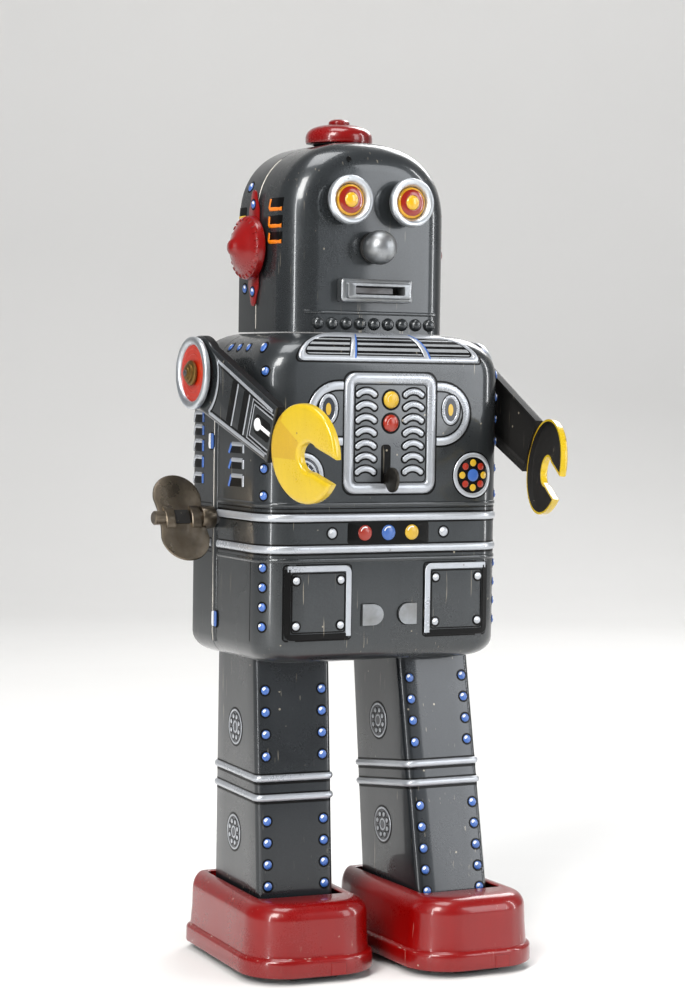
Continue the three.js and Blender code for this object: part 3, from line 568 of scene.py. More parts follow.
def hatches(prints):
    z, half = HATCH_Z, HATCH_HALF
    for s in (1, -1):
        x = s * HATCH_X
        prints.fill(GREY, box_round(x, z, half, half, 1.2, 5, 6), 0.6)
        edge = half - 0.85
        inner, outer = x - s * edge, x + s * edge
        bright = [(inner, z - edge), (inner, z + edge), (outer, z + edge)]
        dark = [(outer, z + edge), (outer, z - edge), (inner, z - edge)]
        for ink, path in ((BLACK, dark), (SILVER, bright)):
            prints.stripe(ink, cornered(path, 1.4), 1.7, 0.12 if ink is SILVER else 0.1, base=0.6)
        prints.stripe(BLACK, rounded_box(x - edge + 1.2, x + edge - 1.2, z - edge + 1.2, z + edge - 1.2,
                                       0.6, 4, 4), 0.4, 0.12, closed=True, base=0.6)
        prints.stripe(BLACK, rounded_box(x - half - 0.2, x + half + 0.2, z - half - 0.2, z + half + 0.2,
                                       1, 4, 6), 0.5, 0.05, closed=True)
        for rx in (15.06, 28.8):
            for rz in (109.4, 96.9):
                prints.dot(BLACK, s * rx, rz, 1.55, 0.14, base=0.6)
                prints.dot(SILVER, s * rx, rz, 1.05, 0.4, base=0.66)
                prints.dot(WHITE, s * rx - 0.25, rz + 0.3, 0.5, 0.12, base=0.95, steps=12)
    for flat_x, round_x, start, first, last in ((-8.2, -1.5, -90, 96.4, 102.4), (9.1, 3.3, 90, 102.4, 96.4)):
        mid, r = (flat_x + round_x) / 2, abs(round_x - flat_x) / 2
        outline = [(flat_x, first), (mid, first)] + arc(mid, 99.4, r, start, start + 180, 12, 3)[1:-1]
        outline += [(mid, last), (flat_x, last)]
        prints.fill(SATIN_TIN, outline, 0.8)
        prints.stripe(BLACK, outline, 0.4, 0.06, closed=True)


def chest_panel(prints):
    low, high = PANEL_LOW, PANEL_HIGH
    prints.fill(FIELD, rounded_box(-12.6, 12.6, low + 1.5, high - 1.5, 1.6, 5, 6), 0.34)
    prints.bead(SILVER, rounded_box(-13, 13, low + 1.5, high - 1.5, 2.2, 8, 8), 3.0, 1.0, closed=True)
    prints.stripe(BLACK, rounded_box(-14.7, 14.7, low - 0.2, high + 0.2, 3.0, 8, 8), 0.6, 0.06, closed=True)
    prints.stripe(BLACK, rounded_box(-11.3, 11.3, low + 3.2, high - 3.2, 1.2, 6, 8), 0.35, 0.08,
                  closed=True, base=0.34)
    for s in (1, -1):
        for k in range(7):
            z = 160.6 - 3.58 * k
            brow = arc(s * 7.5 - 0.3, z - 2.4, 3.6, 44, 136, 10, 3.3)
            prints.stripe(BLACK, brow, 2.6, 0.1, base=0.34)
            prints.bead(SILVER, brow, 1.55, 0.5, base=0.38)
            for end in (0, -1):
                prints.dot(BLACK, *brow[end], 1.3, 0.1, base=0.29, steps=14)
                prints.dot(SILVER, *brow[end], 0.77, 0.46, base=0.33, steps=12)
    for z, ink in ((159.1, YELLOW), (152.6, LAMP_RED)):
        prints.dot(BLACK, 0, z, 3.0, 0.05, base=0.34, steps=28)
        prints.dot(ink, 0, z, 2.4, 1.0, base=0.36, steps=28)
        prints.bead(WHITE, arc(0, z, 1.3, 100, 200, 8), 0.35, 0.06, base=1.2)
    # Black patch for the start lever's slot: painted shade inside the open slot, with the lever stem's shadow
    # beside it.
    prints.fill(BLACK, rounded_box(-2.9, 0.1, 133.7, 146.7, 0.9, 5, 3), 0.1, base=0.34)


def wings_and_gauges(prints):
    for s in (1, -1):
        def d_path(inset):
            half, bulge = 8.5 - inset, 9.2 - inset
            path = [(14.9, WING_Z + half), (16.2, WING_Z + half)]
            path += arc(16.2, WING_Z, bulge, 90, -90, 18, half)[1:-1]
            path += [(16.2, WING_Z - half), (14.9, WING_Z - half)]
            return [(s * u, v) for u, v in path]
        prints.fill(FIELD, d_path(1.4), 0.14)
        prints.stripe(BLACK, d_path(-0.6), 0.6, 0.06)
        prints.bead(SILVER, d_path(0.85), 2.3, 0.32, base=0.02)
        prints.stripe(BLACK, d_path(2.2), 0.5, 0.2)
        x, z = s * 19.4, 156.4
        prints.fill(SHADE, ring_path(x, z, 2.3, 24, 3.6), 0.18)
        prints.bead(SILVER, ring_path(x, z, 2.4, 28, 3.7), 1.1, 0.34, closed=True, base=0.1)
        prints.stripe(BLACK, ring_path(x, z, 3.1, 28, 4.4), 0.35, 0.2, closed=True)
        prints.fill(YELLOW, ring_path(x - 0.1, z, 0.8, 20, 1.7), 0.14, base=0.16)
        gx, gz = s * DIAL_X, DIAL_Z
        prints.dot(BLACK, gx, gz, 6.8, 0.04, steps=40, lift=0.02)
        prints.bead(SILVER, ring_path(gx, gz, 5.75, 44), 1.3, 0.3, closed=True, base=0.03)
        if s > 0:
            prints.dot(BLACK, gx, gz, 5.0, 0.06, steps=36, lift=0.08)
            prints.dot(BLUE, gx, gz, 1.75, 0.2, base=0.12, steps=22)
            for k in range(8):
                a = math.radians(45 * k)
                ink = YELLOW if k % 2 == 0 else LAMP_RED
                prints.dot(ink, gx + 3.5 * math.cos(a), gz + 3.5 * math.sin(a), 1.0, 0.14, base=0.12,
                           steps=14)
        else:
            prints.dot(SHADE, gx, gz, 5.0, 0.05, steps=36, lift=0.08)
            for r in (4.1, 2.7):
                prints.bead(SILVER, ring_path(gx, gz, r, 36), 0.6, 0.14, closed=True, base=0.1)
            prints.dot(BLACK, gx, gz, 1.8, 0.12, base=0.12, steps=20)
            for k in range(12):
                a = math.radians(30 * k)
                prints.bead(SILVER, [(gx + r * math.cos(a), gz + r * math.sin(a)) for r in (3.0, 3.9)],
                            0.25, 0.08, base=0.12)


def brow_z(arc_mm):
    """Height of the point that far up the rounded top edge of the front."""
    return TOP - BROW + BROW * math.sin(arc_mm / BROW)


def grille(prints):
    half, low, high, bend = 29.5, 2.2, 11.6, 6.5

    def reach(v, inset):
        """Half width of the grille that far up, drawn in by `inset`."""
        return half - inset - drawn_in(high - v, bend)

    rows, under = [], []
    for j in range(13):
        v = low + 0.4 + (high - low - 0.8) * j / 12
        wide = reach(v, 0.4)
        for skin, out in ((rows, 0.06), (under, -0.1)):
            skin.append([torso(-wide + 2 * wide * k / 40, brow_z(v), out) for k in range(41)])
    prints[PALE_FIELD].sheet(rows, under)
    for grow, draw, ink, width, out in ((0, prints.bead, SILVER, 1.5, 0.4),
                                        (1.05, prints.stripe, BLACK, 0.5, 0.06),
                                        (-1.0, prints.stripe, BLACK, 0.4, 0.12)):
        edge = rounded_box(-half - grow, half + grow, low - grow, high + grow * 0.7, 1.8, 6, 24, bend + grow)
        draw(ink, [(u, brow_z(v)) for u, v in edge], width, out, closed=True)
    for k in range(4):
        v = low + 1.9 + 1.85 * k
        wide = reach(v, 1.2)
        for a, b in ((-wide, -13.6), (-11.1, 11.1), (13.6, wide)):
            prints.stripe(BLACK, line((a, brow_z(v)), (b, brow_z(v)), 10), 0.7, 0.12, base=0.05)
    for s in (1, -1):
        post = [(s * 12.35, brow_z(low + (high - low) * k / 8)) for k in range(9)]
        prints.stripe(BLACK, post, 3.0, 0.1, base=0.05)
        prints.bead(SILVER, post, 2.2, 0.35, base=0.05)
        prints.stripe(BLUE, [(u + 0.7, v) for u, v in post], 0.6, 0.3, base=0.1)


def louvre(prints, u0, u1, z0, z1, lean, blue_low=True):
    """A printed slot: black, with a light bar along its top, one light end and one blue end."""
    top_u0, top_u1 = u0 + lean, u1
    prints.fill(BLACK, subdivided([(u0, z0), (u1, z0), (top_u1, z1), (top_u0, z1)]), 0.1)
    prints.bead(SILVER, line((top_u0 + 0.8, z1 - 0.5), (top_u1 - 0.8, z1 - 0.5), 5), 1.2, 0.3, base=0.06)
    low_end = line((u0 + 0.45, z0 + 0.1), (top_u0 + 0.5, z1 - 0.35), 4)
    high_end = line((u1 - 0.45, z0 + 0.1), (top_u1 - 0.5, z1 - 0.35), 4)
    prints.bead(BLUE if blue_low else SILVER, low_end, 1.05, 0.3, base=0.07)
    prints.bead(SILVER if blue_low else BLUE, high_end, 1.05, 0.3, base=0.07)


# each slot's lower and upper edge
FRONT_SLOTS = ((143.7, 146.7), (139.3, 142.3), (134.4, 137.9))
REAR_SLOTS = ((151.7, 155), (148, 151.1), (143.4, 146.9), (138.8, 142.3), (134.3, 137.4))


def torso_side_prints(prints):
    for s in (1, -1):
        for z in (166.5, 160.0, 153.8, 147.5, 139.9, 132.5, 112.8, 107.4, 102.0, 96.55):
            prints.rivet(s * 38.3, z)
        for away, radius in ((-1.5, 1.15), (8.3, 0.85), (14.6, 0.85), (20.6, 0.85)):
            prints.rivet(s * (SIDE_U + away), 173.0, radius)
        for y0, y1, rear, slots in ((14.2, 24.2, False, FRONT_SLOTS), (40.6, 48.3, True, REAR_SLOTS)):
            a, b = s * (SIDE_U + y0 - CORNER), s * (SIDE_U + y1 - CORNER)
            for z0, z1 in slots:
                louvre(prints, min(a, b), max(a, b), z0, z1, 1.6, rear == (s > 0))
        for y, z in ((34.9, 146.6), (31.6, 96.5), (34.9, 167.5)):
            u = s * (SIDE_U + y - CORNER)
            prints.fill(BLACK, box_round(u, z, 1.9, 2.6, 1.4, 5), 0.34)
            for ink, a, b in ((BLUE, -1.5, 0.2), (WHITE, -0.1, 1.5)):
                a, b = sorted((u + s * a, u + s * b))
                prints.fill(ink, rounded_box(a, b, z - 2.2, z + 2.2, 0.7, 4), 0.5)
        prints.stripe(BLACK, line((s * 43.5, BOTTOM + 6), (s * 43.5, BELT_Z - 8), 20), 0.4, 0.04)
        for k in range(5):
            u, z = s * (AROUND - 12), 158 - 4.6 * k
            louvre(prints, u - 7, u + 7, z - 1.6, z + 1.6, 1.5)
        for z in (166, 150, 134, 112, 98):
            prints.rivet(s * (AROUND - 31), z, 1.3)
        u = s * (AROUND - 17)
        prints.bead(SILVER, rounded_box(u - 8, u + 8, 95, 110, 1.5, 5, 5), 1.1, 0.3, closed=True)
        prints.stripe(BLACK, rounded_box(u - 9, u + 9, 94, 111, 2, 5, 5), 0.5, 0.05, closed=True)


def start_lever():
    lo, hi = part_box("start_lever")
    x = (lo.x + hi.x) / 2 / MM - ORIGIN.x / MM
    z = (lo.z + hi.z) / 2 / MM
    reach = 3.5
    centre_y = (lo.y - ORIGIN.y) / MM + reach
    piece = Piece("start_lever", "start_lever", "mill_steel", DARK_STEEL)
    rim = [(0, -0.62), (reach * 0.85, -0.62), (reach * 0.97, -0.42), (reach, 0), (reach * 0.97, 0.42),
           (reach * 0.85, 0.62), (0, 0.62)]
    turned(piece, lambda a, b, h: (x + h, centre_y + a, z + b), rim, steps=28)
    stem = [[(x + a, y, z + b) for a, b in rounded_box(-0.6, 0.6, -1.4, 1.4, 0.3, 3)]
            for y in (centre_y, 3.9)]
    piece.grid(stem)
    piece.build()


# ---------------------------------------------------------------- head
def head_ring(y, inset, bottom):
    half, rise = HEAD_HALF - inset, HEAD_TOP - HEAD_SPRING - inset
    power = 2 / ARCH
    top = []
    for i in range(41):
        c, s = math.cos(math.pi * i / 40), math.sin(math.pi * i / 40)
        top.append((half * math.copysign(abs(c) ** power, c), y, HEAD_SPRING + rise * max(0.0, s) ** power))
    legs = [bottom + (HEAD_SPRING - bottom) * k / 4 for k in range(4)]
    return [(-half, y, z) for z in legs[::-1]] + [(half, y, z) for z in legs] + top


def head_point(s):
    """Point of the head's side, s = 1 on its left, at (y, z)."""
    def point(y, z):
        inset = max(drawn_in(y - HEAD_FRONT, HEAD_ROUND), drawn_in(HEAD_BACK - y, HEAD_REAR))
        half, rise = HEAD_HALF - inset, HEAD_TOP - HEAD_SPRING - inset
        climb = min(0.999, max(0.0, z - HEAD_SPRING) / rise)
        return (s * half * (1 - climb ** ARCH) ** (1 / ARCH), y, z)
    return point


def head_front_point(x, z):
    over = max(0.0, abs(x) - (HEAD_HALF - HEAD_ROUND))
    climb = max(0.0, z - (HEAD_TOP - HEAD_ROUND))
    reach = min(HEAD_ROUND, math.hypot(over, climb))
    return (x, HEAD_FRONT + HEAD_ROUND - math.sqrt(HEAD_ROUND ** 2 - reach ** 2), z)


face = on_surface(head_front_point)


def flank(s):
    """Surface map over one side of the head, whose normal points outwards."""
    bare_map = on_surface(head_point(s))
    return bare_map if s > 0 else (lambda u, v, out=0.0: bare_map(u, v, -out))


def head_shells():
    gap = 0.15
    for name, front in (("head_front_shell", True), ("head_back_shell", False)):
        piece = Piece(name, "chassis", "litho_grey", GREY)
        skins = []
        for inset in (0.0, SHEET):
            r = (HEAD_ROUND if front else HEAD_REAR) - inset
            end = HEAD_FRONT + inset if front else HEAD_BACK - inset
            away = 1 if front else -1
            ys = [end + away * (r - h) for h in rounding(r, 12)][::-1]
            ys += [HEAD_SEAM - away * gap]
            bottom = HEAD_BOTTOM + (0 if inset == 0 else 0.01)
            rings = [head_ring(y, inset + drawn_in(abs(y - end), r), bottom) for y in ys]
            skins.append(rings)
        outer, inner = skins
        centre_out = [(0, outer[0][0][1], 205.0)] * len(outer[0])
        centre_in = [(0, inner[0][0][1], 205.0)] * len(inner[0])
        shell = [centre_out] + outer + inner[::-1] + [centre_in]
        edges = [0.0] * len(outer) + [0.45] + [0.0] * (len(inner) + 1)
        piece.grid(shell, caps=OPEN, edges=edges)
        piece.build()


def head_prints(prints):
    for k in range(9):
        prints.dot(GREY, -17.1 + 4.45 * k, 180.15, 1.8, 1.6, steps=22)
    prints.bead(GREY, line((-21, 183.2), (21, 183.2), 24), 1.1, 0.35)
    # Black dot for the small hole in the forehead: painted shade of the hole's inside.
    prints.dot(BLACK, -7.7, 226.0, 0.75, 0.03)
    for s in (1, -1):
        prints.surface = flank(s)
        for z0, z1 in ((211.3, 214.9), (206.6, 210.0), (202.2, 205.4)):
            outline = [(17.5, z0), (25.2, z0), (24.4, z1), (17.5, z1)]
            prints.fill(BLACK, subdivided(outline), 0.08)
            trim = [(24.5, z1 - 0.2), (24.9, z0 + 0.9), (24.5, z0 + 0.5), (21, z0 + 0.45),
                    (17.8, z0 + 0.45)]
            prints.bead(ORANGE, trim, 1.15, 0.25, base=0.06)
        prints.fill(BLACK, rounded_box(39.6, 44.4, 209.8, 213.2, 0.4, 3, 3), 0.08)
        prints.bead(YELLOW, line((39.8, 210.4), (44.2, 210.4), 5), 0.9, 0.2, base=0.06)
        # Pale line along the head's seam: worn bare tin with a painted highlight of the edge.
        seam = [(HEAD_SEAM, HEAD_BOTTOM + 1 + 1.6 * k) for k in range(32)]
        prints.bead(EDGE_WEAR_AND_HIGHLIGHT, [(y - 0.35, z) for y, z in seam if z < 227], 0.35, 0.2)
        for z in (190, 219):
            prints.rivet(40, z, 1.2)


FACE_BASE = HEAD_FRONT - 0.3  # the pieces on the face start just inside its skin


def facing(x, z):
    """Puts a turned piece on the face: its height stands out towards -Y."""
    return lambda a, b, h: (x + a, FACE_BASE - h, z + b)


def eyes():
    for side, s in SIDES.items():
        x, z = s * EYE_X, EYE_Z
        bezel = Piece("eye_bezel_" + side, "chassis", "bare_tin", RING_TIN, INSIDE)
        ring = [(4.42, 1.8), (4.42, 3.6), (4.7, 4.4), (5.15, 5.1), (5.7, 5.5), (6.25, 5.5), (6.7, 5.1),
                (6.9, 4.4), (6.85, 3.6), (6.5, 2.9), (5.6, 2.5), (5.6, 1.8)]
        turned(bezel, facing(x, z), ring + ring[:1], steps=56, edges=[0.0] * (len(ring) + 1))
        stub = [(0, 0), (5.15, 0), (5.2, 0.5), (5.05, 2.2), (5.0, 2.6), (4.6, 2.6), (4.6, 1.8), (0, 1.8)]
        turned(bezel, facing(x, z), stub, steps=40, material=1)
        bezel.build()
        lens = Piece("eye_lens_" + side, "chassis", "eye_amber", EYE_AMBER, EYE_RED, EYE_YELLOW)
        turned(lens, facing(x, z), [(0, 2.0), (4.4, 2.0), (4.4, 4.0), (4.1, 4.35), (3.75, 4.5),
                                    (3.7, 4.2), (0, 4.2)], steps=48)
        turned(lens, facing(x, z), [(0, 2.1), (3.68, 2.1), (3.68, 4.5), (3.1, 4.75), (2.5, 4.9),
                                    (2.14, 4.9), (2.12, 4.2), (0, 4.2)], steps=44, material=1)
        crown = [(0, 2.2), (2.1, 2.2), (2.1, 4.8)]
        for a in (0, 18, 36, 54, 72, 86):
            crown.append((2.05 * math.cos(math.radians(a)), 4.9 + 0.7 * math.sin(math.radians(a))))
        turned(lens, facing(x, z), crown, steps=40, material=2)
        lens.build()


def nose_and_mouth():
    nose = Piece("nose_dome", "chassis", "bare_tin", SATIN_TIN, INSIDE)
    ball = [(4.85 * math.cos(math.radians(a)), 3.75 + 4.85 * math.sin(math.radians(a)))
            for a in range(-40, 91, 10)]
    turned(nose, facing(0, NOSE_Z), [(3.2, 0.6)] + ball[:-1] + [(0.02, 8.6)], steps=48)
    turned(nose, facing(0, NOSE_Z), [(0, 0), (4.4, 0), (4.4, 0.5), (3.7, 0.9), (0, 0.9)], steps=36,
           material=1)
    nose.build()
    z, base = MOUTH_Z, FACE_BASE
    frame_piece = Piece("mouth_frame", "chassis", "bare_tin", SATIN_TIN)
    steps = ((0, 11.3, 3.2, 0.9), (2.6, 11.3, 3.2, 0.9), (3.0, 10.9, 2.8, 0.8), (3.15, 10.2, 2.35, 0.7),
             (4.3, 10.1, 2.25, 0.7), (4.6, 9.7, 1.9, 0.6), (4.6, 7.9, 1.25, 0.35), (4.3, 7.7, 1.1, 0.3),
             (0.2, 7.7, 1.1, 0.3))
    rows = [[(u, base - out, v) for u, v in box_round(0, z, w, h, r, 5, 6)] for out, w, h, r in steps]
    frame_piece.grid(rows, caps=OPEN, edges=[0, 0.1, 0.3, 0, 0.1, 0.3, 0.2, 0, 0])
    frame_piece.build()
    plate = Piece("mouth_plate", "chassis", "mill_steel", STEEL, INSIDE)
    plate.grid([[(u, base - out, v) for u, v in rounded_box(-7.4, 5.2, z - 0.8, z + 0.8, 0.25, 3, 4)]
                for out in (0.2, 1.9, 2.15)])
    plate.grid([[(u, base - out, v) for u, v in box_round(0, z, 7.6, 1.05, 0.25, 3, 4)]
                for out in (0.02, 0.15)], material=1)
    plate.build()


def ears_and_crown(prints):
    for side, s in SIDES.items():
        ear = Piece("ear_" + side, "chassis", "red_tin", RED)
        start = s * (HEAD_HALF + 1.1)
        cone = [(0, 0), (8.7, 0), (9.1, 0.35), (9.15, 1.2), (8.9, 2.1), (8.5, 2.35), (8.3, 2.65),
                (7.9, 2.9), (7.0, 3.4), (6.1, 4.1), (5.2, 4.7), (4.2, 5.25), (3.2, 5.7), (2.5, 6.2),
                (2.0, 6.8), (1.5, 7.2), (0.02, 7.35)]
        turned(ear, lambda a, b, h: (start + s * h, EAR_Y + a, EAR_Z + b), cone, steps=72,
               edges=[0, 0, 0.35, 0.2] + [0] * 13)
        for cos_a, sin_a in circle(24):
            rib = [(cos_a * r, sin_a * r, h) for r, h in ((8.75, 2.2), (8.3, 2.7), (7.85, 2.95))]
            across = (-sin_a * 0.45, cos_a * 0.45)
            ear.grid([[(start + s * (h + lift), EAR_Y + y + across[0] * w, EAR_Z + z + across[1] * w)
                       for w, lift in ((-1, -0.1), (-0.6, 0.35), (0.6, 0.35), (1, -0.1))]
                      for y, z, h in rib])
        ear.build()
        bracket = Piece("ear_bracket_" + side, "chassis", "red_tin", RED)
        outline = [(-3, -11), (-1.6, -14.3)] + arc(0, -14.9, 1.5, 200, 340, 6) + [(1.6, -14.3), (3, -11)]
        outline += [(3, 11), (1.6, 14.3)] + arc(0, 14.9, 1.5, 20, 160, 6) + [(-1.6, 14.3), (-3, 11)]
        x0 = s * (HEAD_HALF + 0.3)
        bracket.grid([[(x0 + s * out, EAR_Y + y * k, EAR_Z + z * k) for y, z in outline]
                      for out, k in ((0, 1), (0.4, 1), (0.55, 0.96))], edges=[0.3, 0.3, 0])
        bracket.build()
        prints.surface = lambda u, v, out=0.0: (s * (HEAD_HALF + 0.85 + out), u, v)
        for z in (213.6, 189.0):
            prints.rivet(EAR_Y, z, 1.15)
    crown = Piece("crown_dome", "chassis", "red_tin", RED, INSIDE)
    dome_profile = [(0, 0.2), (8.7, 0.35), (9.45, 0.5), (9.6, 1.0), (9.6, 2.3), (9.4, 3.1), (9.0, 3.8),
                    (8.3, 4.5), (7.2, 5.05), (5.6, 5.55), (3.6, 5.9), (1.8, 6.05), (0.02, 6.1)]
    upright = lambda a, b, h: (a, CROWN_Y + b, HEAD_TOP + h)
    turned(crown, upright, dome_profile, steps=64, edges=[0, 0, 0.3, 0.35, 0.1] + [0] * 8)
    turned(crown, upright, [(0, 0.02), (7.4, 0.02), (7.4, 0.5), (0, 0.5)], steps=40, material=1)
    crown.build()
    button = Piece("crown_button", "chassis", "red_tin", RED)
    turned(button, upright, [(0, 5.9), (2.9, 6.0), (3.05, 6.3), (2.95, 6.8), (2.4, 7.25), (1.4, 7.5),
                             (0.02, 7.56)], steps=36)
    button.build()


# ---------------------------------------------------------------- key
def key():
    lo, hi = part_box("winding_key")
    inner = -41.5
    x1 = (lo.x - ORIGIN.x) / MM
    cy, cz = (lo.y + hi.y) / 2 / MM - ORIGIN.y / MM, (lo.z + hi.z) / 2 / MM
    turn = math.radians(30)

    def place(x, across, through):
        """A point at x, `across` along the wings and `through` the sheet."""
        return (x, cy + across * math.sin(turn) + through * math.cos(turn),
                cz + across * math.cos(turn) - through * math.sin(turn))

    piece = Piece("winding_key", "winder", "key_steel", BRONZE, INSIDE)
    mid, wide, reach = -49.0, 7.3, 13.4
    waist = [(wide - 0.5, 3), (wide - 0.7, 0), (wide - 0.5, -3)]
    edge = arc(mid, reach - wide, wide, 0, 180, 24) + [(mid - x, w) for x, w in waist]
    edge += arc(mid, wide - reach, wide, 180, 360, 24) + [(mid + x, w) for x, w in waist[::-1]]
    piece.grid([[place(mid + (x - mid) * share, w * share, thick) for x, w in edge]
                for share, thick in ((0.93, -0.55), (0.985, -0.4), (1.0, 0.0), (0.985, 0.4), (0.93, 0.55))],
               edges=[0, 0.3, 0.5, 0.3, 0])
    # Dark patch on each face at the grip's window: painted shade of the opening.
    window = lambda k: rounded_box(mid - 2.4 + k, mid + 2.4 - k, -2.1 + k, 2.1 - k, 0.4, 3)
    for a in (-1, 1):
        piece.grid([[place(x, w, t) for x, w in window(k)]
                    for k, t in ((0, a * 0.5), (0, a * 0.75), (0.1, a * 0.78))], material=1)
    for x0, x2 in ((mid + 2.5, mid + 5.4), (mid - 5.4, mid - 2.5)):
        ends = ((x0, 0.9), (x0 + 0.25, 1.0), (x2 - 0.25, 1.0), (x2, 0.9))
        piece.grid([[place(x, 3.6 * grow * c, 2.1 * grow * s) for c, s in circle(28)]
                    for x, grow in ends], edges=[0.4, 0, 0, 0.4])
    hub = [(0.02, inner - 1.8), (3.1, inner - 1.8), (3.3, inner - 1.4), (3.3, inner + 1.9),
           (3.0, inner + 2.3), (2.3, inner + 2.3), (0.02, inner + 2.2)]
    turned(piece, lambda a, b, h: (h, cy + a, cz + b), hub, steps=30)
    for ends in (((inner - 1, 1), (mid + 4, 1)), ((mid - 4, 1), (x1 + 0.4, 1), (x1 + 0.05, 0.8))):
        rod = [[(x, cy + 2.0 * k * c, cz + 2.0 * k * s) for c, s in circle(20)] for x, k in ends]
        piece.grid(rod, edges=[0] + [0.4] * (len(rod) - 1))
    piece.build()


# ---------------------------------------------------------------- arms
def arm_places(side):
    """Maps to the robot's frame from arm and from hand coordinates: along, across, out of the outer face."""
    s = SIDES[side]
    drop = Matrix.Rotation(math.radians(ARM_DROP[side]), 4, "X")
    lean = Matrix.Rotation(-math.radians(ARM_LEAN) * s, 4, "Z")
    forearm = Matrix.Translation((s * SHOULDER_X, SHOULDER_Y, SHOULDER_Z)) @ drop @ lean
    bend = Matrix.Translation((0, -WRIST, 0)) @ Matrix.Rotation(-math.radians(CLAW_BEND) * s, 4, "Z")

    def points(there):
        return lambda along, across, out=0.0: tuple(there @ Vector((s * out, -along, across)))
    return points(forearm), points(forearm @ bend)


def bar_half(along, inset):
    """Half the width of the arm's bar, which tapers from the elbow to the wrist."""
    return 9.5 - inset - 1.6 * (along - 4) / 44


def forearm_outline(inset):
    """Disc round the shoulder running into the tapered bar, from the pivot to the wrist."""
    r = SHOULDER_R - inset
    half = lambda along: bar_half(along, inset)
    meets = lambda a: r * math.sin(math.radians(a)) >= half(r * math.cos(math.radians(a)))
    angle = next(a for a in range(20, 90) if meets(a))
    disc = arc(0, 0, r, angle, 360 - angle, 44)
    wrist = 45.6 - inset * 0.3
    upper = [(wrist, half(wrist))] + [(u, half(u)) for u in (36, 26, 16)]
    lower = [(u, -v) for u, v in upper[::-1]]
    return upper + disc + lower


def claw_pair(inset):
    """Outer and inner edge of the C-shaped claw, as two rows of points that match."""
    n = 48
    centre, r, bore, hole, mouth = 14.0, 13.3 - inset, 16.6, 3.9 + inset, 3.5 + inset
    tip = math.asin(mouth / r)
    outer = [(centre + r * math.cos(a), r * math.sin(a))
             for a in (tip + (2 * math.pi - 2 * tip) * k / n for k in range(n + 1))]
    meet = math.asin(mouth / hole)
    near, far = bore + hole * math.cos(meet), centre + r * math.cos(tip)
    lip = [(far + (near - far) * k / 8, mouth) for k in range(9)]
    ring = [(bore + hole * math.cos(a), hole * math.sin(a))
            for a in (meet + (2 * math.pi - 2 * meet) * k / (n - 16) for k in range(1, n - 16))]
    return outer, lip + ring + [(u, -v) for u, v in lip[::-1]]


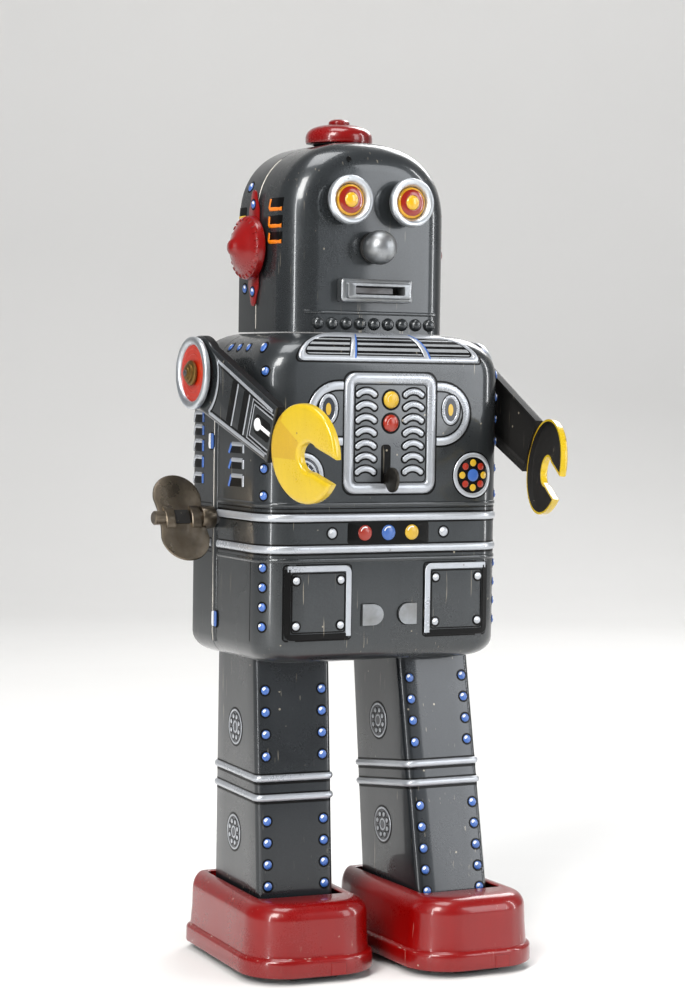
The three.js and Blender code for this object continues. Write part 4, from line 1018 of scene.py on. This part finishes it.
def arm(side):
    place, hand = arm_places(side)
    piece = Piece("arm_shell_" + side, side + "_arm", "litho_arm", ARM_GREY, CLAW, CLAW_SHADED_YELLOW, INSIDE,
                  ARM_RIM)
    section = [(1.3, 0.0), (0.75, -0.06), (0.3, -0.3), (0.05, -0.75), (0.0, -1.3), (0.0, -3.0),
               (0.6, -3.0), (0.6, -1.2), (1.3, -0.62)]
    rows = [[place(u, v, out) for u, v in forearm_outline(inset)] for inset, out in section]
    piece.grid(rows, edges=[0, 0, 0.25, 0.1, 0, 0.45, 0.3, 0, 0])
    n = len(rows[0])
    piece.finish[3 * n:5 * n] = [4] * (2 * n)
    piece.finish[5 * n:8 * n] = [3] * (3 * n)
    piece.finish[-n:] = [3] * n
    loops = []
    for inset, out in section:
        outer, inner = claw_pair(inset)
        loops.append([hand(u, v, out * CLAW_DEPTH) for u, v in outer + inner[::-1]])
    start = len(piece.faces)
    piece.grid(loops, caps=OPEN, material=1, edges=[0, 0.1, 0.35, 0.15, 0.3, 0.66, 0.6, 0, 0])
    n = len(loops[0]) // 2
    piece.finish[start + 12 * n:] = [3] * (len(piece.finish) - start - 12 * n)
    base = len(piece.points) - len(loops) * 2 * n
    for row, material in ((0, 1), (len(loops) - 1, 3)):
        first = base + row * 2 * n
        cover = [(first + k, first + k + 1, first + 2 * n - 2 - k, first + 2 * n - 1 - k)
                 for k in range(n - 1)]
        piece.faces += cover
        piece.finish += [material] * len(cover)
    # Claw faces within 8.2 mm of the wrist take the darker yellow, which is painted shade on the heel's
    # facets.
    for i in range(start, len(piece.faces)):
        centre = sum((Vector(piece.points[k]) for k in piece.faces[i]), Vector()) / len(piece.faces[i])
        if piece.finish[i] == 1 and (centre - Vector(hand(0, 0))).length < 8.2:
            piece.finish[i] = 2
    piece.build()

    prints = Prints("arm_" + side, side + "_arm", "litho_arm", place)
    for v in (1, -1):
        for inset, draw, ink, width, out in ((1.6, prints.bead, SILVER, 1.0, 0.14),
                                             (2.5, prints.stripe, BLACK, 0.5, 0.05)):
            draw(ink, [(u, v * bar_half(u, inset)) for u in (10.5, 14, 20, 28, 36, 44.5)], width, out)
    prints.bead(SILVER, arc(0, 0, 12.6, -36, 36, 14), 1.0, 0.14)
    prints.stripe(BLACK, arc(0, 0, 13.5, -33, 33, 14), 0.5, 0.05)
    for u in (22.4, 29.6):
        wide = bar_half(u, 2.7)
        prints.fill(BLACK, rounded_box(u - 1.8, u + 1.4, -wide, wide, 0.4, 4, 5), 0.06)
        prints.bead(SILVER, line((u + 1.5, -wide), (u + 1.5, wide), 6), 0.7, 0.14)
    for w in (0.0, 1.15):
        box = [(45.4, -5.6 + w), (40, -5.6 + w), (33.4 + w, -5.6 + w), (33.4 + w, 0),
               (33.4 + w, 5.6 - w), (40, 5.6 - w), (45.4, 5.6 - w)]
        prints.bead(SILVER, box, 0.5, 0.12)
    prints.stripe(BLACK, [(45.4, -5.0), (34, -5.0), (34, 5.0), (45.4, 5.0)], 0.5, 0.06)
    prints.fill(BLACK, rounded_box(36.2, 45.2, -2.7, 2.7, 1.2, 6, 3), 0.05)
    prints.bead(WHITE, line((38.2, 0), (45.2, 0), 5), 1.3, 0.35)
    prints.dot(WHITE, 38.0, 0, 1.8, 0.6, steps=20)
    prints.build()

    s = SIDES[side]
    rest = SHOULDER_R * math.sin(math.radians(ARM_LEAN)) + 0.3
    drop = Matrix.Rotation(math.radians(ARM_DROP[side]), 4, "X")
    there = Matrix.Translation((s * SHOULDER_X, SHOULDER_Y, SHOULDER_Z)) @ drop
    hub = lambda a, b, h: tuple(there @ Vector((s * (rest + h), a, b)))
    disc = Piece("shoulder_disc_" + side, side + "_arm", "shoulder_red", DISC_RED, TIN)
    turned(disc, hub, [(2.3, 0), (8.0, 0), (8.0, 0.62), (2.3, 0.62), (2.3, 0)], steps=48)
    turned(disc, hub, [(7.9, 0), (10.1, 0), (10.2, 0.5), (10.15, 1.1), (9.9, 1.45), (9.4, 1.65),
                       (8.8, 1.6), (8.3, 1.35), (8.0, 0.95), (7.9, 0.6), (7.9, 0)], steps=60,
           material=1, edges=[0] * 11)
    ribs = lambda u, v, out=0.0: hub(u, v, 0.62 + out)
    for r in (6.9, 5.4):
        ribbon(disc, ribs, ring_path(0, 0, r, 40), 0.35, 0.1, closed=True)
    disc.build()
    boss = Piece("shoulder_boss_" + side, side + "_arm", "brass", BRASS, STEEL)
    turned(boss, hub, [(0.02, 0.9), (3.4, 0.9), (3.55, 1.1), (3.5, 1.6), (3.2, 1.85), (2.65, 1.9),
                       (2.6, 2.35), (2.3, 2.55), (1.75, 2.6), (1.7, 2.85), (1.5, 2.95), (0.02, 2.95)],
           steps=36, edges=[0, 0, 0.3, 0, 0.2, 0, 0.2, 0, 0, 0, 0, 0])
    turned(boss, hub, [(0.02, 2.9), (0.9, 2.9), (0.9, 3.3), (0.65, 3.45), (0.02, 3.5)], steps=20,
           material=1)
    boss.build()


# ---------------------------------------------------------------- legs and feet
def leg_matrix(side):
    s = SIDES[side]
    swing = Matrix.Rotation(-math.radians(SWING[side]), 4, "X")
    turn = Matrix.Rotation(math.radians(LEG_TURN[side]), 4, "Z")
    return Matrix.Translation((s * LEG_X, HIP_Y, HIP_Z)) @ swing @ turn


LEG_W, LEG_FRONT, LEG_BACK, LEG_R = 11.4, 13.9, 15.5, 2.0
LEG_FLAT, LEG_BEND = LEG_W - LEG_R, math.pi / 2 * LEG_R
LEG_SIDE, LEG_STRETCH = 27.0, 8.0
FLARE_TOP, FLARE = -8.0, 0.0807  # the front runs forward below this height, by this much for each millimetre


def leg_front(z):
    """How far the front wall stands in front of the leg's axis. It runs forward towards the foot."""
    return LEG_FRONT + FLARE * max(0.0, FLARE_TOP - z)


def leg_point(u, z):
    """Outside of the leg tube, u round it from the middle of its front and z up from the hip.
    The first few millimetres of each side take up the flare of the front."""
    s, d = (1 if u >= 0 else -1), abs(u)
    flat, bend, front = LEG_FLAT, LEG_BEND, leg_front(z)
    along = d - flat - bend
    if d <= flat:
        return (u, -front, z)
    if along <= 0:
        a = (d - flat) / LEG_R
        return (s * (flat + LEG_R * math.sin(a)), -front + LEG_R * (1 - math.cos(a)), z)
    if along <= LEG_SIDE:
        start, rear = -front + LEG_R, LEG_BACK - LEG_R
        y = rear - (LEG_SIDE - along)
        if along < LEG_STRETCH:
            y = start + (rear - LEG_SIDE + LEG_STRETCH - start) * along / LEG_STRETCH
        return (s * LEG_W, y, z)
    if along <= LEG_SIDE + bend:
        a = (along - LEG_SIDE) / LEG_R
        return (s * (flat + LEG_R * math.cos(a)), LEG_BACK - LEG_R + LEG_R * math.sin(a), z)
    return (s * max(0.0, flat + bend + LEG_SIDE - along), LEG_BACK, z)


def emblem(prints, u, z):
    """Printed ring with eight lobes round an inner ring."""
    prints.dot(BLACK, u, z, 5.6, 0.03, steps=36, lift=0.03)
    prints.dot(SHADE, u, z, 5.1, 0.03, steps=36, lift=0.08)
    prints.bead(SILVER, ring_path(u, z, 4.75, 36), 0.5, 0.12, closed=True, base=0.1)
    prints.bead(SILVER, ring_path(u, z, 1.5, 24), 0.5, 0.14, closed=True, base=0.1)
    for k in range(8):
        a = math.radians(45 * k + 22.5)
        cu, cz = u + 3.1 * math.cos(a), z + 3.1 * math.sin(a)
        prints.dot(BLACK, cu, cz, 1.05, 0.04, base=0.1, steps=14)
        prints.dot(SILVER, cu, cz, 0.7, 0.16, base=0.12, steps=12)


def leg(side):
    there = leg_matrix(side)
    put = lambda p: tuple(there @ Vector(p))
    surface_local = on_surface(leg_point)
    surface = lambda u, v, out=0.0: put(surface_local(u, v, out))
    piece = Piece("leg_shell_" + side, side + "_leg", "litho_leg", LEG_GREY, INSIDE)

    def ring(z, inset):
        r = LEG_R - inset
        path = rounded_box(-LEG_W + inset, LEG_W - inset, inset - leg_front(z), LEG_BACK - inset, r, 7, 5)
        return [put((x, y, z)) for x, y in path]
    heights = [6.6, 0, -8, -20, -40, -60, -70, -81.5]
    rows = [ring(z, 0) for z in heights] + [ring(z, SHEET) for z in heights[::-1]]
    rows.append(rows[0])
    piece.grid(rows, caps=OPEN, edges=[0.4] + [0] * 6 + [0.4, 0.4] + [0] * 6 + [0.4, 0.4])
    piece.build()

    prints = Prints("leg_" + side, side + "_leg", "litho_leg", surface)
    around = 2 * LEG_FLAT + 2 * LEG_BEND + LEG_SIDE
    for z in (-43.4, -48.8):
        loop = [(-around + 2 * around * k / 120, z) for k in range(120)]
        prints.bead(SILVER, [(max(-around + 0.02, u), v) for u, v in loop], 1.9, 0.85)
        prints.stripe(BLACK, [(max(-around + 0.02, u), v - 1.35) for u, v in loop], 0.8, 0.06)
        prints.stripe(BLACK, [(max(-around + 0.02, u), v + 1.2) for u, v in loop], 0.5, 0.05)
    above = [-19.0 - 6.1 * k for k in range(4)]
    below = [-55.2 - 6.0 * k for k in range(5)]
    for z in above + below:
        for u in (-8.5, 8.5):
            prints.rivet(u, z, 1.2)
        for s in (1, -1):
            prints.rivet(s * (LEG_FLAT + 2 * LEG_BEND + LEG_SIDE + 1.8), z, 1.35)
    side_mid = LEG_FLAT + LEG_BEND + LEG_SIDE / 2
    for s in (1, -1):
        for z in (-31, -61):
            emblem(prints, s * side_mid, z)
    # Pale line along the leg's seam: worn bare tin with a painted highlight of the edge.
    seam = line((around - 4, -12), (around - 4, -80), 12)
    prints.bead(EDGE_WEAR_AND_HIGHLIGHT, seam, 0.5, 0.3)
    prints.build()


def foot_matrix(side):
    s = SIDES[side]
    ankle_y = HIP_Y - ANKLE_DROP * math.sin(math.radians(SWING[side]))
    turn = Matrix.Rotation(math.radians(LEG_TURN[side]), 4, "Z")
    return Matrix.Translation((s * LEG_X, ankle_y, 0)) @ turn


def foot(side):
    there = foot_matrix(side)
    put = lambda p: tuple(there @ Vector(p))
    forward, half, length, toe_corner, heel_corner = 8.5, 19.5, 29.5, 13.0, 6.5

    def ring(z, draw, skin=0.0):
        """Outline of the foot at height z. The heel is drawn in less than the toe and the sides."""
        heel = min(draw - skin, 1.4) + skin
        path = rounded_box(-half + draw, half - draw, -forward - length + draw,
                           -forward + length - heel, toe_corner - draw, 10, 5,
                           top=max(0.5, heel_corner - draw))
        return [put((x, y, z)) for x, y in path]

    def mouth(z, grow=0.0):
        path = rounded_box(-12.6 - grow, 12.6 + grow, -23.6 - grow, 18.5 + grow, 1.6 + grow, 10, 5)
        return [put((x, y, z)) for x, y in path]

    top, roll = 21.5, 4.4
    profile = [(2.2, 0), (2.5, -0.12), (6.1, -0.1), (6.6, 0.05), (7.0, 0.5), (7.25, 1.0), (8.0, 1.1),
               (12.5, 1.5)]
    profile += [(top - roll + h, 1.65 + drawn_in(roll - h, roll)) for h in rounding(roll, 8)]
    outer = [ring(z, d) for z, d in profile]
    outer += [mouth(top, 0.5), mouth(top - 0.25), mouth(top - 0.5), mouth(top - SHEET, 0.3)]
    inner = [ring(z - SHEET, d + SHEET, SHEET) for z, d in profile[:0:-1]] + [ring(2.2, SHEET, SHEET)]
    rows = outer + inner
    rows.append(rows[0])
    edges = [0.6, 0.5, 0.1, 0.75, 0.6, 0.3] + [0.0] * (len(profile) - 6) + [0.5, 0.3, 0, 0]
    edges += [0.0] * (len(inner) - 1) + [0.5, 0.6]
    piece = Piece("foot_upper_" + side, side + "_foot", "red_tin", RED, INSIDE, EDGE_WEAR_AND_HIGHLIGHT)
    piece.grid(rows, caps=OPEN, edges=edges)
    loop = rounded_box(-half + 0.5, half - 0.5, -forward - length + 0.5, -forward + length - 0.5,
                       toe_corner, 10, 5, top=heel_corner)
    flange = ((1.0, 1.0, 6.95), (0.985, 0.99, 7.3), (0.968, 0.978, 7.28), (0.97, 0.98, 6.95))
    rolled = [[put((x * k, (y + forward) * k2 - forward, z)) for k, k2, z in flange] for x, y in loop]
    piece.grid(rolled + [rolled[0]], caps=OPEN, edges=[0.72] * (len(rolled) + 1))
    fold = ((-2.3, -0.02), (-2.1, -0.4), (2.1, -0.4), (2.3, -0.02))
    tab = [[put((5 + a, -forward - length + b, z)) for a, b in fold] for z in (2.3, 5.6)]
    piece.grid(tab, edges=[0.66, 0.66])
    piece.build()


# ---------------------------------------------------------------- build the robot
torso_shells()
torso_prints = Prints("torso", "chassis", "litho_grey", torso)
belt(torso_prints)
hatches(torso_prints)
chest_panel(torso_prints)
wings_and_gauges(torso_prints)
grille(torso_prints)
torso_side_prints(torso_prints)
torso_prints.build()
start_lever()
head_shells()
head_art = Prints("head", "chassis", "litho_grey", face)
head_prints(head_art)
ears_and_crown(head_art)
head_art.build()
eyes()
nose_and_mouth()
key()
for which in SIDES:
    arm(which)
    leg(which)
    foot(which)

WORKS = {"great_wheel": BRASS, "crank_pinion": BRASS, "mainspring": BRONZE}
for node_name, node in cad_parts.items():
    if not node.hide_render:
        node.data.materials.clear()
        node.data.materials.append(WORKS.get(node_name, STEEL))


# ---------------------------------------------------------------- floor, light and camera
def stage():
    f = Finish("pale_floor")
    cloud = f.noise(3, 3)
    tone = f.mix(cloud, (0.78, 0.775, 0.76, 1), (0.84, 0.835, 0.825, 1))
    f.set(Base_Color=tone, Roughness=f.span(f.noise(30, 2), 0.3, 0.7, 0.55, 0.7))
    profile = [(-2.5, 0.0), (1.0, 0.0)] + [(1.0 + 0.6 * math.sin(math.radians(a)),
                                            0.6 - 0.6 * math.cos(math.radians(a)))
                                           for a in range(10, 91, 10)] + [(1.6, 3.0)]
    facing_dir = Vector((0.469, 0.883, 0))
    across = Vector((0.883, -0.469, 0))
    points, faces = [], []
    for d, z in profile:
        for w in (-3.0, 3.0):
            points.append(facing_dir * d + across * w + Vector((0, 0, z - 0.0001)))
    for i in range(len(profile) - 1):
        faces.append((2 * i, 2 * i + 1, 2 * i + 3, 2 * i + 2))
    mesh = bpy.data.meshes.new("floor")
    mesh.from_pydata(points, [], faces)
    mesh.materials.append(f.mat)
    mesh.polygons.foreach_set("use_smooth", [True] * len(mesh.polygons))
    floor = bpy.data.objects.new("floor", mesh)
    bpy.context.scene.collection.objects.link(floor)


def area_light(name, place, target, size, height, power, colour=(1, 1, 1)):
    data = bpy.data.lights.new(name, "AREA")
    data.shape, data.size, data.size_y, data.energy, data.color = "RECTANGLE", size, height, power, colour
    lamp = bpy.data.objects.new(name, data)
    bpy.context.scene.collection.objects.link(lamp)
    lamp.location = place
    lamp.rotation_euler = (Vector(target) - Vector(place)).to_track_quat("-Z", "Y").to_euler()


def lights():
    world = bpy.data.worlds.new("studio")
    world.use_nodes = True
    world.node_tree.nodes["Background"].inputs["Color"].default_value = (0.86, 0.88, 0.92, 1)
    world.node_tree.nodes["Background"].inputs["Strength"].default_value = 0.22
    bpy.context.scene.world = world
    aim = (0, 0, 0.12)
    area_light("key", (-0.9, -0.75, 0.95), aim, 0.4, 0.7, 18, (1, 0.98, 0.95))
    area_light("fill", (0.75, -1.0, 0.5), aim, 0.4, 0.8, 5, (0.95, 0.97, 1))
    area_light("rim", (0.7, 0.6, 0.8), (0, 0, 0.14), 0.4, 0.6, 5)
    area_light("top", (-0.1, -0.1, 1.3), (0, 0, 0.1), 0.6, 0.6, 8)
    area_light("left_strip", (-0.95, -0.5, 0.35), aim, 0.07, 1.0, 5)
    area_light("right_strip", (0.9, -0.4, 0.35), aim, 0.07, 1.0, 4)


def camera():
    data = bpy.data.cameras.new("camera")
    data.lens, data.sensor_width, data.sensor_fit = 89.37, 36, "AUTO"
    data.clip_start = 0.01
    data.dof.use_dof = False
    eye = bpy.data.objects.new("camera", data)
    bpy.context.scene.collection.objects.link(eye)
    ahead = Vector((0.46886739, 0.88179735, -0.05095875)).normalized()
    level = ahead.cross(Vector((0, 0, 1))).normalized()
    upward = level.cross(ahead)
    roll = math.radians(0.84)
    right = math.cos(roll) * level + math.sin(roll) * upward
    up = -math.sin(roll) * level + math.cos(roll) * upward
    turn = Matrix((right, up, -ahead)).transposed().to_4x4()
    eye.matrix_world = Matrix.Translation((-0.332979, -0.614051, 0.1654)) @ turn
    bpy.context.scene.camera = eye


stage()
lights()
camera()
bpy.context.scene.view_settings.view_transform = "Standard"
